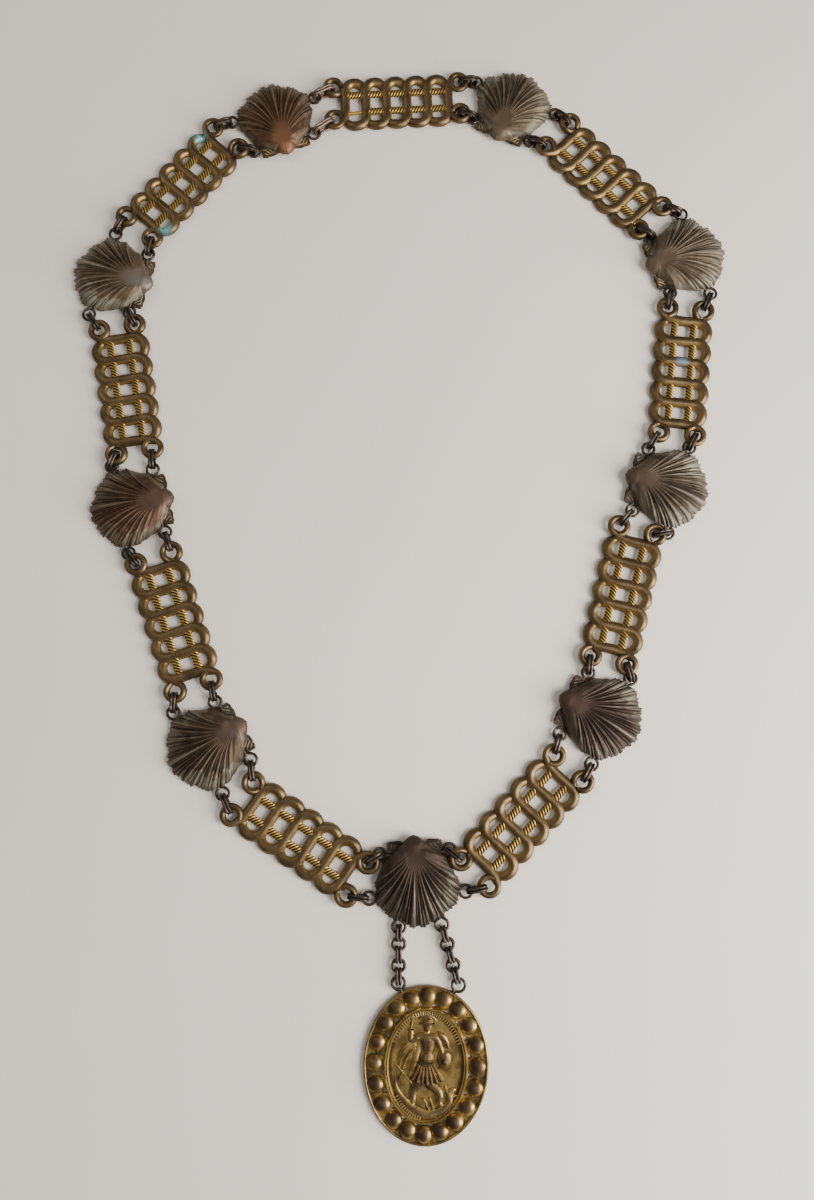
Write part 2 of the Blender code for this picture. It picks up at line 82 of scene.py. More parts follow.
class Finish:
    """A surface finish: a material and the nodes that colour it."""

    def __init__(self, name, **constants):
        self.material = bpy.data.materials.new(name)
        self.material.use_nodes = True
        self.tree = self.material.node_tree
        self.shader = self.tree.nodes["Principled BSDF"]
        for socket, value in constants.items():
            self.shader.inputs[socket.replace("_", " ")].default_value = value
        self.place = self.node("ShaderNodeTexCoord", {}, {}, "Object")

    def node(self, kind, settings, sockets, output=0):
        """Any node: its settings first, then the values or links of its sockets."""
        made = self.tree.nodes.new(kind)
        for name, value in settings.items():
            setattr(made, name, value)
        for name, value in sockets.items():
            if isinstance(value, Value):
                self.tree.links.new(value.socket, made.inputs[name])
            else:
                made.inputs[name].default_value = value
        return Value(self, made.outputs[output])

    def sum(self, operation, *values):
        return self.node("ShaderNodeMath", {"operation": operation}, dict(enumerate(values)))

    def noise(self, scale, detail=3.0, rough=0.55, place=None):
        place = place or self.place
        sockets = {"Vector": place, "Scale": scale, "Detail": detail, "Roughness": rough}
        return self.node("ShaderNodeTexNoise", {}, sockets)

    def above(self, value, low, high):
        """0 where a value is below low, 1 where it is above high, and smooth between."""
        sockets = {"Value": value, "From Min": low, "From Max": high}
        return self.node("ShaderNodeMapRange", {"interpolation_type": "SMOOTHSTEP"}, sockets)

    def attribute(self, name, output="Fac"):
        return self.node("ShaderNodeAttribute", {"attribute_name": name}, {}, output)

    def mixed(self, first, second, share):
        """One colour turning into another."""
        shades = [(*shade, 1) if isinstance(shade, tuple) else shade for shade in (first, second)]
        sockets = {0: share, 6: shades[0], 7: shades[1]}
        return self.node("ShaderNodeMix", {"data_type": "RGBA"}, sockets, 2)

    def feed(self, socket, value):
        self.tree.links.new(value.socket, self.shader.inputs[socket])

    def bump(self, height, depth):
        """Raises the surface by a height from 0 to 1, to the depth given in metres."""
        sockets = {"Height": height, "Distance": depth, "Strength": 1.0}
        self.feed("Normal", self.node("ShaderNodeBump", {}, sockets))


def deselect():
    bpy.ops.object.select_all(action="DESELECT")


deselect()
bpy.ops.mesh.primitive_plane_add(size=FLOOR_SIZE)
floor = bpy.context.object
floor.name = "floor"
pale = Finish("pale floor", Roughness=0.9)
tones = pale.mixed((0.695, 0.640, 0.560), (0.755, 0.695, 0.610), pale.noise(9, 4))
pale.feed("Base Color", tones)
floor.data.materials.append(pale.material)

for place, size, power, colour in LAMPS:
    bpy.ops.object.light_add(type="AREA", location=place)
    lamp = bpy.context.object
    lamp.data.shape = "RECTANGLE"
    lamp.data.size, lamp.data.size_y = size
    lamp.data.energy = power
    lamp.data.color = colour
    lamp.rotation_euler = Vector(place).to_track_quat("Z", "Y").to_euler()
world = bpy.data.worlds.new("studio")
world.use_nodes = True
sky = world.node_tree.nodes["Background"]
sky.inputs["Color"].default_value = SKY_COLOUR
sky.inputs["Strength"].default_value = SKY_STRENGTH
bpy.context.scene.world = world

bpy.ops.object.camera_add(location=CAMERA_PLACE, rotation=(CAMERA_LEAN, 0, 0))
camera = bpy.context.object
camera.data.sensor_width = 36
camera.data.lens = CAMERA_LENS
camera.data.clip_start = 0.01
bpy.context.scene.camera = camera

# Scallop shells
# Nine hollow castings of dark bronze from one mould: a smooth rounded umbo, two flat ears, and a
# fan of sharp ribs that ends in a ragged rim. Four wire eyelets are soldered beneath the edge of
# each, and two more for the medallion's chains at the bottom one.
SHELL_PLACES = (
    (7.1, -127.7, 94),
    (-77.6, -74.1, 33),
    (-112.9, 26.1, 13),
    (-125.2, 129.3, -15),
    (-55.2, 203.9, -72),
    (50.1, 209.9, -114),
    (125.2, 138.5, -163),
    (113.4, 34.8, 164),
    (82.2, -61.7, 154),
)
SHELL_AROUND = 340
SHELL_RINGS = 34
SHELL_WALL = 1.1 * MM
SHELL_TOP = 7.5
CROWN_TOP = 7.1
UMBO_SHARE = 0.93
POLE_Y = 13.4
# Rim of the right half from the umbo's tip round to the bottom: x, y, share of the way out at
# which the dome meets the ear, height of the rim, steepness of the dome's side
SHELL_RIM = (
    (0.0, 18.2, 1.00, 3.4, 1.0),
    (2.0, 17.5, 1.00, 3.3, 1.0),
    (3.5, 16.3, 1.00, 3.1, 1.0),
    (4.4, 15.5, 0.94, 2.9, 1.0),
    (7.0, 15.5, 0.62, 2.9, 1.0),
    (11.2, 15.3, 0.50, 2.7, 1.0),
    (11.0, 13.2, 0.60, 2.6, 0.9),
    (11.0, 11.5, 0.74, 2.4, 0.8),
    (11.9, 10.0, 0.88, 2.2, 0.6),
    (13.0, 8.5, 1.00, 2.0, 0.4),
    (14.1, 5.0, 1.00, 1.8, 0.15),
    (16.5, 1.2, 1.00, 2.1, 0.10),
    (17.4, -3.5, 1.00, 2.6, 0.0),
    (16.3, -8.5, 1.00, 2.5, 0.0),
    (14.0, -11.8, 1.00, 1.7, 0.0),
    (10.5, -14.3, 1.00, 1.4, 0.0),
    (6.0, -17.0, 1.00, 1.6, 0.0),
    (2.5, -18.1, 1.00, 1.4, 0.0),
    (0.0, -18.3, 1.00, 1.2, 0.0),
)
# Height of the fan from the umbo out to the rim, as a share of what is between them
FAN_PROFILE = (
    (0.0, UMBO_SHARE),
    (0.12, 0.985),
    (0.3, 1.0),
    (0.45, 0.95),
    (0.6, 0.86),
    (0.75, 0.69),
    (0.87, 0.45),
    (0.95, 0.22),
    (1.0, 0.0),
)
# Grooves between the ribs, in millimetres along the rim from its lowest point
RIGHT_GROOVES = (0.0, 1.6, 3.0, 4.9, 8.3, 9.8, 12.9, 14.4, 17.6, 19.0, 21.9, 23.1, 26.0, 27.2, 31.0)
LEFT_GROOVES = (0.0, 1.1, 5.0, 6.5, 9.3, 10.7, 13.8, 15.0, 18.2, 19.4, 22.4, 23.6, 26.4, 27.6, 31.0)
RIB_RISE = 1.2
# Teeth of the rim: their pitch, and shares of the way out that teeth, ribs and lobes take or add
RIM_TOOTH = 2.3
TOOTH_DEPTH = 0.062
RAGGED = 0.020
# The fan begins at this place along the rim from the umbo's tip, and crowds towards its rim
FAN_START = (24.0, 28.0)
FAN_CROWDING = 0.26
# Ridges of the ears: their place along the rim, how many a share of the way out, and their rise
EAR_PLACE = (6.5, 8.5, 17, 19.5)
EAR_RIDGES = 46
EAR_RISE = 0.2
# Where streaks of patina are read: on a cylinder round the pole, so they run along the ribs
STREAK_RADIUS = 17.5
STREAK_DRIFT = 1.2
# Eyelets: their middles, the legs that hold them, and their wire
INNER_EYELET = (13.98, 11.2)
OUTER_EYELET = (19.4, -5.5)
CHAIN_EYELETS = ((-8.3, -17.2), (8.9, -17.6))
INNER_LEG = 3.2
OUTER_LEG = 2.6
CHAIN_LEG = 2.4
EYELET_BEND = 2.55
EYELET_WIRE = 1.2
EYELET_HEIGHT = 2.08
EYELET_STEPS = 26
EYELET_OPENING = math.radians(26)


def between(rows, key, column):
    """A column of a table of rows, read at a place along its first column."""
    for low, high in zip(rows, rows[1:]):
        if key <= high[0]:
            share = (key - low[0]) / (high[0] - low[0]) if high[0] > low[0] else 0.0
            return low[column] + (high[column] - low[column]) * max(share, 0.0)
    return rows[-1][column]


def eased(value, low, high):
    """0 below low, 1 above high, smooth between."""
    share = min(max((value - low) / (high - low), 0.0), 1.0)
    return share * share * (3 - 2 * share)


def rib_height(grooves, at):
    """Height of the ribs from -0.5 in a groove to 0.5 on a crest, and how wide that rib is."""
    for low, high in zip(grooves, grooves[1:]):
        if at < high:
            width = high - low
            sharpness = 0.8 if width < 1.8 else 0.4
            return math.sin(math.pi * ((at - low) / width)) ** sharpness - 0.5, width
    return 0.0, 2.0


rim_rows = [(0.0, *SHELL_RIM[0])]
for before, after in zip(SHELL_RIM, SHELL_RIM[1:]):
    step = math.dist(before[:2], after[:2])
    rim_rows.append((rim_rows[-1][0] + step, *after))
rim_half = rim_rows[-1][0]

deselect()
bpy.ops.mesh.primitive_circle_add(vertices=SHELL_AROUND, radius=1, fill_type="NOTHING")
casting = bpy.context.object
bpy.ops.object.mode_set(mode="EDIT")
bpy.ops.mesh.select_all(action="SELECT")
for ring in range(SHELL_RINGS - 1, 0, -1):
    bpy.ops.mesh.extrude_region_move()
    shrink = ring / (ring + 1)
    bpy.ops.transform.resize(value=(shrink, shrink, shrink))
bpy.ops.mesh.extrude_region_move()
bpy.ops.mesh.merge(type="CENTER")
bpy.ops.object.mode_set(mode="OBJECT")
words = ("rib", "out", "worn", "ear", "bloom", "ray")
for word in words:
    casting.data.attributes.new(word, "FLOAT_VECTOR" if word == "ray" else "FLOAT", "POINT")
ribs, outs, wears, ears, blooms, rays = (casting.data.attributes[word].data for word in words)
for number, vertex in enumerate(casting.data.vertices):
    # How far out the point is, from the pole to the rim, and how far along the rim
    out = min(vertex.co.xy.length, 1.0)
    turn = math.atan2(vertex.co.x, vertex.co.y)
    side = 1 if turn >= 0 else -1
    along = abs(turn) / math.pi * rim_half
    from_bottom = rim_half - along
    x, y, foot, rim, steep = (between(rim_rows, along, column) for column in range(1, 6))
    fan = eased(along, *FAN_START)

    # Ribs, and the ragged rim in which they end
    rib, width = rib_height(RIGHT_GROOVES if side > 0 else LEFT_GROOVES, from_bottom)
    strength = eased(out, 0.18, 0.55) * (0.6 + 0.45 * eased(width, 1.2, 2.2)) * fan
    strength *= 1 - 0.25 * eased(from_bottom, 14, 26)
    tooth = (along / RIM_TOOTH + 0.2 * math.sin(1.3 * along)) % 1 * eased(along, 21, 25)
    bite = TOOTH_DEPTH * tooth * (0.7 + 0.3 * math.sin(1.7 * along)) * eased(out, 0.84, 1.0)
    lobe = math.sin(from_bottom * 0.72 + 0.9 * side) * eased(out, 0.55, 1.0)
    ragged = 1 + (RAGGED * rib * eased(out, 0.7, 1.0) + RAGGED * lobe - bite) * fan
    across = side * x * ragged * out ** (1 + FAN_CROWDING * fan)
    down = POLE_Y + (y * ragged - POLE_Y) * out ** (1 - 0.05 * fan)

    # Height: the dome and the ear beside it, a smooth crown over the pole, then ribs and lobes
    share = min(out / foot, 1.0)
    steep_dome = UMBO_SHARE * math.sqrt(max(1 - share * share, 0))
    dome = between(FAN_PROFILE, share, 1) * (1 - steep) + steep_dome * steep
    height = rim + (SHELL_TOP - rim) * dome
    ear = eased(out, foot, foot + 0.06) * (1 - eased(out, 0.84, 0.95))
    ear = ear * eased(along, *EAR_PLACE[:2]) * (1 - eased(along, *EAR_PLACE[2:]))
    ridge = math.sin((out - foot) * EAR_RIDGES)
    height += EAR_RISE * ridge * ear
    back = down - POLE_Y
    crown = CROWN_TOP - 0.05 * min(back, 0) - 0.16 * max(back, 0) ** 2 - 0.05 * across**2
    height += (crown - height) * (1 - eased(math.hypot(across, back), 1.2, 5.5))
    lift = RIB_RISE * rib * strength * (1 - 0.35 * eased(out, 0.92, 1.0))
    lift += 0.3 * lobe * fan * eased(out, 0.6, 0.9)
    height += lift

    # A growth line across the ribs, higher on the right
    band = 0.75 + 0.04 * math.sin(from_bottom * 0.9 + side)
    step = eased(out, band, band + 0.02) - eased(out, band + 0.03, 0.97)
    height += (0.34 if side > 0 else 0.2) * step * fan

    # Where the patina changes
    beside_ear = eased(out, foot - 0.3, foot - 0.05) - eased(out, foot, foot + 0.1)
    beside_ear = beside_ear * eased(along, 5, 9) * (1 - eased(along, 21, 27))
    on_band = eased(out, band, band + 0.03) - eased(out, 0.9, 1.0)
    on_band = on_band * fan * eased(from_bottom, 5, 12)
    blooms[number].value = max(beside_ear, on_band if side > 0 else 0.4 * on_band)
    ribs[number].value = rib * strength
    outs[number].value = out * (0.6 + 0.4 * eased(along, 18, 24))
    wears[number].value = (1 - eased(abs(across), 0.8, 6.5)) * (1 - eased(14.5 - down, 2.0, 13.0))
    ears[number].value = ear * (0.5 + 0.5 * ridge)
    ray_x, ray_y = math.sin(turn) * STREAK_RADIUS, math.cos(turn) * STREAK_RADIUS
    rays[number].vector = (ray_x, ray_y, STREAK_DRIFT * out)
    vertex.co = (across * MM, down * MM, max(height, 0.9) * MM)
bpy.ops.object.mode_set(mode="EDIT")
bpy.ops.mesh.select_all(action="SELECT")
bpy.ops.mesh.normals_make_consistent(inside=False)
bpy.ops.object.mode_set(mode="OBJECT")
if casting.data.polygons[0].normal.z < 0:
    bpy.ops.object.mode_set(mode="EDIT")
    bpy.ops.mesh.flip_normals()
    bpy.ops.object.mode_set(mode="OBJECT")
wall = casting.modifiers.new("wall", "SOLIDIFY")
wall.thickness = SHELL_WALL
wall.offset = -1
bpy.ops.object.modifier_apply(modifier="wall")
for vertex in casting.data.vertices:
    vertex.co.z = max(vertex.co.z, 0.08 * MM)
bpy.ops.object.shade_smooth_by_angle(angle=math.radians(50))


def closed_up(smooth):
    """Merges the doubled points of the active mesh, turns its faces outwards and smooths it."""
    bpy.ops.object.mode_set(mode="EDIT")
    bpy.ops.mesh.select_all(action="SELECT")
    bpy.ops.mesh.remove_doubles(threshold=0.001 * MM)
    bpy.ops.mesh.normals_make_consistent(inside=False)
    bpy.ops.object.mode_set(mode="OBJECT")
    bpy.ops.object.shade_smooth_by_angle(angle=math.radians(smooth))


def spline_in(curve, spots, closed):
    """A straight-sided spline in a curve, through spots that are given in metres."""
    spline = curve.data.splines.new("POLY")
    spline.points.add(len(spots) - 1)
    for point, spot in zip(spline.points, spots):
        point.co = (*spot, 1)
    spline.use_cyclic_u = closed
    return spline.points


def wire_along(name, points, thickness, closed=False, widths=None):
    """A round wire bent along a row of points given in millimetres, as a mesh."""
    deselect()
    bpy.ops.curve.primitive_nurbs_path_add()
    bent = bpy.context.object
    bent.name = name
    bent.data.splines.clear()
    placed = spline_in(bent, [Vector(at) * MM for at in points], closed)
    for point, width in zip(placed, widths or []):
        point.radius = width
    bent.data.bevel_depth = thickness / 2 * MM
    bent.data.bevel_resolution = 3
    bent.data.use_fill_caps = True
    bpy.ops.object.convert(target="MESH")
    closed_up(50)
    return bent


def eyelet(centre, inward, height, reach, drop=0.0):
    """A loop of wire round a hole. Two legs run in, and down, to what it is soldered to."""
    loop = []
    for step in range(EYELET_STEPS + 1):
        share = (2 * math.pi - EYELET_OPENING) * step / EYELET_STEPS
        turn = inward + EYELET_OPENING / 2 + share
        x, y = EYELET_BEND * math.cos(turn), EYELET_BEND * math.sin(turn)
        loop.append((centre[0] + x, centre[1] + y, height))
    leg = Vector((math.cos(inward) * reach, math.sin(inward) * reach, -drop))
    points = [Vector(loop[0]) + leg] + loop + [Vector(loop[-1]) + leg]
    return wire_along("eyelet", points, EYELET_WIRE)


def copy_of(thing, name):
    """The same thing once more, with its own mesh."""
    again = thing.copy()
    again.data = thing.data.copy()
    again.name = name
    again.data.name = name
    bpy.context.scene.collection.objects.link(again)
    return again


def fused(name, things):
    """Several meshes made one object."""
    deselect()
    for thing in things:
        thing.select_set(True)
    bpy.context.view_layer.objects.active = things[0]
    bpy.ops.object.join()
    things[0].name = name
    things[0].data.name = name
    return things[0]


def picked(thing):
    """Selects one thing alone."""
    deselect()
    thing.select_set(True)
    bpy.context.view_layer.objects.active = thing


def laid(thing, x, y, z, heading):
    """Puts a piece in its place, in millimetres and radians, with the place kept in its mesh."""
    picked(thing)
    thing.rotation_euler.z = heading
    thing.location = (x * MM, y * MM, z * MM)
    bpy.ops.object.transform_apply(location=True, rotation=True, scale=True)
    return thing


def shell_bronze(name, body, umbo, margin, bright, chalk):
    """Dark patina on cast bronze, streaked along the ribs. It is rubbed at the umbo and bright on
    the ears' ridges, with a paler margin and some chalky bloom."""
    skin = Finish(name, Metallic=0.7, Roughness=0.45)
    rib, out, ear = skin.attribute("rib"), skin.attribute("out"), skin.attribute("ear")
    clouds, patches = skin.noise(160, 5, 0.6), skin.noise(70, 3, 0.5)
    grains = skin.noise(1400, 3, 0.6)
    streaks = skin.noise(1.25, 4.0, 0.62, skin.attribute("ray", "Vector"))
    rayed = skin.above(out, 0.26, 0.62)
    colour = skin.mixed(body, tuple(0.55 * shade for shade in body), skin.above(clouds, 0.42, 0.66))
    worn = skin.attribute("worn") * (0.30 + 1.1 * clouds)
    colour = skin.mixed(colour, umbo, worn)
    colour = skin.mixed(colour, margin, skin.above(out + 0.9 * patches, 1.12, 1.42) * 0.7)
    mottled = clouds + 0.6 * patches + 0.5 * streaks
    dusty = skin.attribute("bloom") * skin.above(mottled, 0.90, 1.18) * chalk
    colour = skin.mixed(colour, (0.225, 0.210, 0.152), dusty)
    dark = skin.above(0 - streaks, -0.47, -0.36) * rayed
    colour = skin.mixed(colour, tuple(0.3 * shade for shade in body), dark * 0.8)
    groove = skin.above(0 - rib, 0.06, 0.36)
    colour = skin.mixed(colour, tuple(0.2 * shade for shade in body), groove * 0.95)
    crest = skin.above(rib, 0.16, 0.42) * skin.above(streaks + 0.35 * (grains - 0.5), 0.48, 0.66)
    colour = skin.mixed(colour, tuple(1.25 * shade + 0.02 for shade in margin), crest * 0.6)
    ridge = skin.above(ear + 0.5 * (clouds - 0.5), 0.45, 0.85)
    colour = skin.mixed(colour, bright, ridge * 0.85)
    skin.feed("Base Color", colour)
    roughness = 0.60 - 0.14 * crest - 0.10 * ridge - 0.06 * worn + 0.16 * (grains - 0.5)
    skin.feed("Roughness", roughness)
    skin.bump(0.45 * grains + 0.3 * clouds + 1.1 * streaks * rayed, 0.16 * MM)
    return skin.material


def wire_finish(name, body, worn):
    """Drawn wire, dark all over and rubbed bright in places."""
    skin = Finish(name, Metallic=0.85, Roughness=0.4)
    clouds, grains = skin.noise(420, 4, 0.6), skin.noise(2600, 2)
    rubbed = skin.above(clouds, 0.46, 0.7)
    skin.feed("Base Color", skin.mixed(body, worn, rubbed))
    skin.feed("Roughness", 0.46 - 0.12 * rubbed + 0.14 * (grains - 0.5))
    skin.bump(grains, 0.05 * MM)
    return skin.material


black_wire = wire_finish("blackened wire", (0.038, 0.028, 0.021), (0.115, 0.083, 0.060))
# For each shell: patina, rubbed umbo, margin and ridges of the ears, and its share of pale bloom
SHELL_TONES = (
    ((0.046, 0.028, 0.018), (0.041, 0.023, 0.015), (0.080, 0.064, 0.046), (0.060, 0.044, 0.030)),
    ((0.074, 0.046, 0.027), (0.084, 0.053, 0.038), (0.145, 0.126, 0.084), (0.300, 0.290, 0.200)),
    ((0.084, 0.044, 0.023), (0.080, 0.047, 0.033), (0.120, 0.092, 0.060), (0.230, 0.180, 0.100)),
    ((0.106, 0.070, 0.038), (0.140, 0.120, 0.098), (0.195, 0.168, 0.118), (0.340, 0.300, 0.190)),
    ((0.096, 0.050, 0.023), (0.165, 0.072, 0.033), (0.155, 0.115, 0.073), (0.480, 0.350, 0.150)),
    ((0.090, 0.062, 0.036), (0.105, 0.070, 0.044), (0.185, 0.152, 0.104), (0.320, 0.240, 0.120)),
    ((0.092, 0.066, 0.040), (0.112, 0.074, 0.047), (0.175, 0.150, 0.106), (0.400, 0.290, 0.130)),
    ((0.078, 0.055, 0.036), (0.070, 0.042, 0.030), (0.155, 0.131, 0.100), (0.180, 0.150, 0.100)),
    ((0.050, 0.031, 0.021), (0.060, 0.029, 0.021), (0.088, 0.070, 0.054), (0.110, 0.088, 0.060)),
)
SHELL_BLOOM = (0.20, 0.95, 0.70, 0.95, 0.55, 0.70, 0.70, 0.45, 0.30)
eyelets = []
for (eye_x, eye_y), leg in ((INNER_EYELET, INNER_LEG), (OUTER_EYELET, OUTER_LEG)):
    eyelets.append(eyelet((eye_x, eye_y), math.pi, EYELET_HEIGHT, leg))
    eyelets.append(eyelet((-eye_x, eye_y), 0, EYELET_HEIGHT, leg))
for loop in eyelets:
    loop.data.materials.append(black_wire)
for number, (x, y, heading) in enumerate(SHELL_PLACES):
    shell = copy_of(casting, "shell")
    bronze = shell_bronze(f"shell bronze {number}", *SHELL_TONES[number], SHELL_BLOOM[number])
    shell.data.materials.append(bronze)
    parts = [shell] + [copy_of(loop, "eyelet") for loop in eyelets]
    if number == 0:
        for spot in CHAIN_EYELETS:
            loop = eyelet(spot, math.pi / 2, height=2.1, reach=CHAIN_LEG)
            loop.data.materials.append(black_wire)
            parts.append(loop)
    shell = fused(f"scallop_{number}", parts)
    laid(shell, x, y, 0, math.radians(heading - 90))
    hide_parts(f"shell_{number}")
    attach(shell, "root")
for loop in eyelets:
    bpy.data.objects.remove(loop)
bpy.data.objects.remove(casting)

# Knotwork plates
# Nine pierced castings of brass. Six S-shaped strands lie side by side across two twisted ropes,
# and each arches over the next hole to tuck beneath its neighbour. Each end has two rings: one is
# the curled end of the outer strand, and the other comes out from beneath it.
PLATE_PLACES = (
    (-40.1, -111.2, -34),
    (-94.0, -22.9, -71),
    (-117.9, 77.9, -80),
    (-96.4, 173.5, -131),
    (-1.4, 213.1, -177),
    (90.9, 176.6, 135),
    (121.8, 85.9, 84),
    (93.5, -11.7, 76),
    (49.8, -103.9, 47),
)
PLATE_LIFT = 1.4
STRANDS = 6
STRAND_PITCH = 9.3
STRAND_WIDTH = 4.4
STRAND_HEIGHT = 2.2
ARCH_Y = 5.93
ARCH_STEPS = 16
TUCK = 0.85
ROPE_Y = 4.15
ROPE_LIFT = 0.85
ROPE_LENGTH = 47.2
ROPE_WIDTH = 3.4
ROPE_TALL = 2.0
ROPE_CORDS = 4
ROPE_TURN = 5.3
ROPE_SIDES = 24
ROPE_STEPS = 200
# Shares of the rope's half width: its core, and how far the cords stand out from it
ROPE_CORE = 0.66
CORD_DEPTH = 0.34
RING_X = 28.15
RING_Y = 7.75
RING_BEND = 3.58
RING_WIDTH = 2.75
RING_HEIGHT = 1.9
RING_LIFT = 1.35
RING_STEPS = 38
# How far the windows between the strands reach from the plate's middle line
WINDOW_REACH = 5.4


def half_round(width, height, steps):
    """The section of a strand: flat beneath and domed above."""
    turns = [math.pi * step / steps for step in range(steps + 1)]
    return [(0.5 * width * math.cos(turn), height * math.sin(turn)) for turn in turns]


def band_along(name, points, section, widths=None, tilts=None, closed=False):
    """A flat-backed band swept along a row of points, as a mesh."""
    deselect()
    bpy.ops.curve.primitive_nurbs_circle_add(radius=MM)
    outline = bpy.context.object
    outline.data.splines.clear()
    spline_in(outline, [(x * MM, y * MM, 0) for x, y in section], True)
    deselect()
    bpy.ops.curve.primitive_nurbs_path_add()
    band = bpy.context.object
    band.name = name
    band.data.splines.clear()
    placed = spline_in(band, [Vector(at) * MM for at in points], closed)
    for point, width in zip(placed, widths or []):
        point.radius = width
    for point, tilt in zip(placed, tilts or []):
        point.tilt = tilt
    band.data.twist_mode = "Z_UP"
    band.data.bevel_mode = "OBJECT"
    band.data.bevel_object = outline
    band.data.use_fill_caps = True
    bpy.ops.object.convert(target="MESH")
    bpy.data.objects.remove(outline)
    closed_up(40)
    return band


def arc(centre, radius, start, end, steps):
    """Points along an arc, in degrees, both ends included."""
    turns = [math.radians(start + (end - start) * step / steps) for step in range(steps + 1)]
    x, y = centre
    return [(x + radius * math.cos(turn), y + radius * math.sin(turn), 0.0) for turn in turns]


strand_section = half_round(STRAND_WIDTH, STRAND_HEIGHT, 12)
brown_bands = []
half = STRAND_PITCH / 2
for number in range(STRANDS):
    x = (number - (STRANDS - 1) / 2) * STRAND_PITCH
    # Each end narrows and sinks to tuck beneath the neighbour
    low_widths = [0.82 + 0.18 * eased(step, 0, 6) for step in range(ARCH_STEPS + 1)]
    high_widths = low_widths[::-1]
    sunk = [-TUCK * (1 - eased(step, 0, 7)) for step in range(ARCH_STEPS + 1)]
    low = arc((x - half, -ARCH_Y), half, -158, 0, ARCH_STEPS)
    low = [(px, py, depth) for (px, py, pz), depth in zip(low, sunk)]
    high = arc((x + half, ARCH_Y), half, 180, 22, ARCH_STEPS)
    high = [(px, py, depth) for (px, py, pz), depth in zip(high, sunk[::-1])]
    # The outer strands end in a curl instead
    curl = [
        (x - 0.1, -3.2, 0),
        (x - 0.35, -5.2, 0.15),
        (x - 0.95, -7.4, 0.45),
        (x - 1.9, -9.4, 0.95),
    ]
    loop = arc((x - 4.9, -RING_Y), RING_BEND, -45, -350, 26)
    curl += [(px, py, RING_LIFT) for px, py, pz in loop]
    curl_widths = [1.0, 0.96, 0.86, 0.72] + [0.6] * len(loop)
    if number == 0:
        low, low_widths = curl[::-1], curl_widths[::-1]
    if number == STRANDS - 1:
        high, high_widths = [(2 * x - px, -py, pz) for px, py, pz in curl], curl_widths
    rise = high[0][1] - low[-1][1]
    middle = [(x, low[-1][1] + rise * step / 5, 0) for step in range(1, 5)]
    widths = low_widths + [1.0] * len(middle) + high_widths
    brown_bands.append(band_along("strand", low + middle + high, strand_section, widths))
for end in (-1, 1):
    ring, ring_widths = [], []
    start = 168 if end == 1 else -12
    around = arc((end * RING_X, -end * RING_Y), RING_BEND, start, start - 345, RING_STEPS)
    for step, (px, py, pz) in enumerate(around):
        pz = RING_LIFT - 1.3 * (1 - eased(step, 1, 8))
        ring.append((px, py, pz - 0.5 * eased(step, 32, RING_STEPS)))
        ring_widths.append(1.0 - 0.2 * eased(step, 33, RING_STEPS))
    section = half_round(RING_WIDTH, RING_HEIGHT, 10)
    brown_bands.append(band_along("ring", ring, section, ring_widths))

# Ropes: one section of four cords, turned about itself along the rope and then flattened
rope_section = []
for step in range(ROPE_SIDES):
    turn = 2 * math.pi * step / ROPE_SIDES
    lobe = ROPE_CORE + CORD_DEPTH * abs(math.cos(ROPE_CORDS / 2 * turn))
    radius = 0.5 * ROPE_WIDTH * lobe
    rope_section.append((radius * math.cos(turn), radius * math.sin(turn)))
gilt_bands = []
for y in (-ROPE_Y, ROPE_Y):
    path, tilts = [], []
    for step in range(ROPE_STEPS + 1):
        path.append((-ROPE_LENGTH / 2 + ROPE_LENGTH * step / ROPE_STEPS, y, 0.0))
        tilts.append(-2 * math.pi * ROPE_LENGTH / ROPE_TURN * step / ROPE_STEPS)
    rope = band_along("rope", path, rope_section, tilts=tilts)
    rope.scale.z = ROPE_TALL / ROPE_WIDTH
    gilt_bands.append(laid(rope, 0, 0, ROPE_LIFT, 0))

gilt = Finish("rope brass", Metallic=0.85, Roughness=0.4)
clouds, groove = gilt.noise(300, 4), gilt.attribute("groove")
colour = gilt.mixed((0.47, 0.285, 0.060), (0.28, 0.165, 0.037), gilt.above(clouds, 0.42, 0.68))
# Painted shade: dark brown in the grooves between the cords
gilt.feed("Base Color", gilt.mixed(colour, (0.042, 0.025, 0.010), gilt.above(groove, 0.10, 0.38)))
gilt.feed("Roughness", 0.36 + 0.2 * clouds)
gilt.bump(gilt.noise(1800, 2), 0.04 * MM)
# Stained plates: the stain's colour, its strength, how far it spreads, and its middles
STAINS = {
    3: ((0.10, 0.30, 0.27), 1.0, (1.2, 4.2), ((21, 8.8), (-21, -9.2))),
    6: ((0.10, 0.17, 0.24), 0.8, (0.8, 3.4), ((4.6, 0),)),
}
# The plate whose rope is partly a plain strip, and the stretch along it
MENDED_PLATE = 4
MENDED_STRETCH = (14.6 * MM, 22.6 * MM)


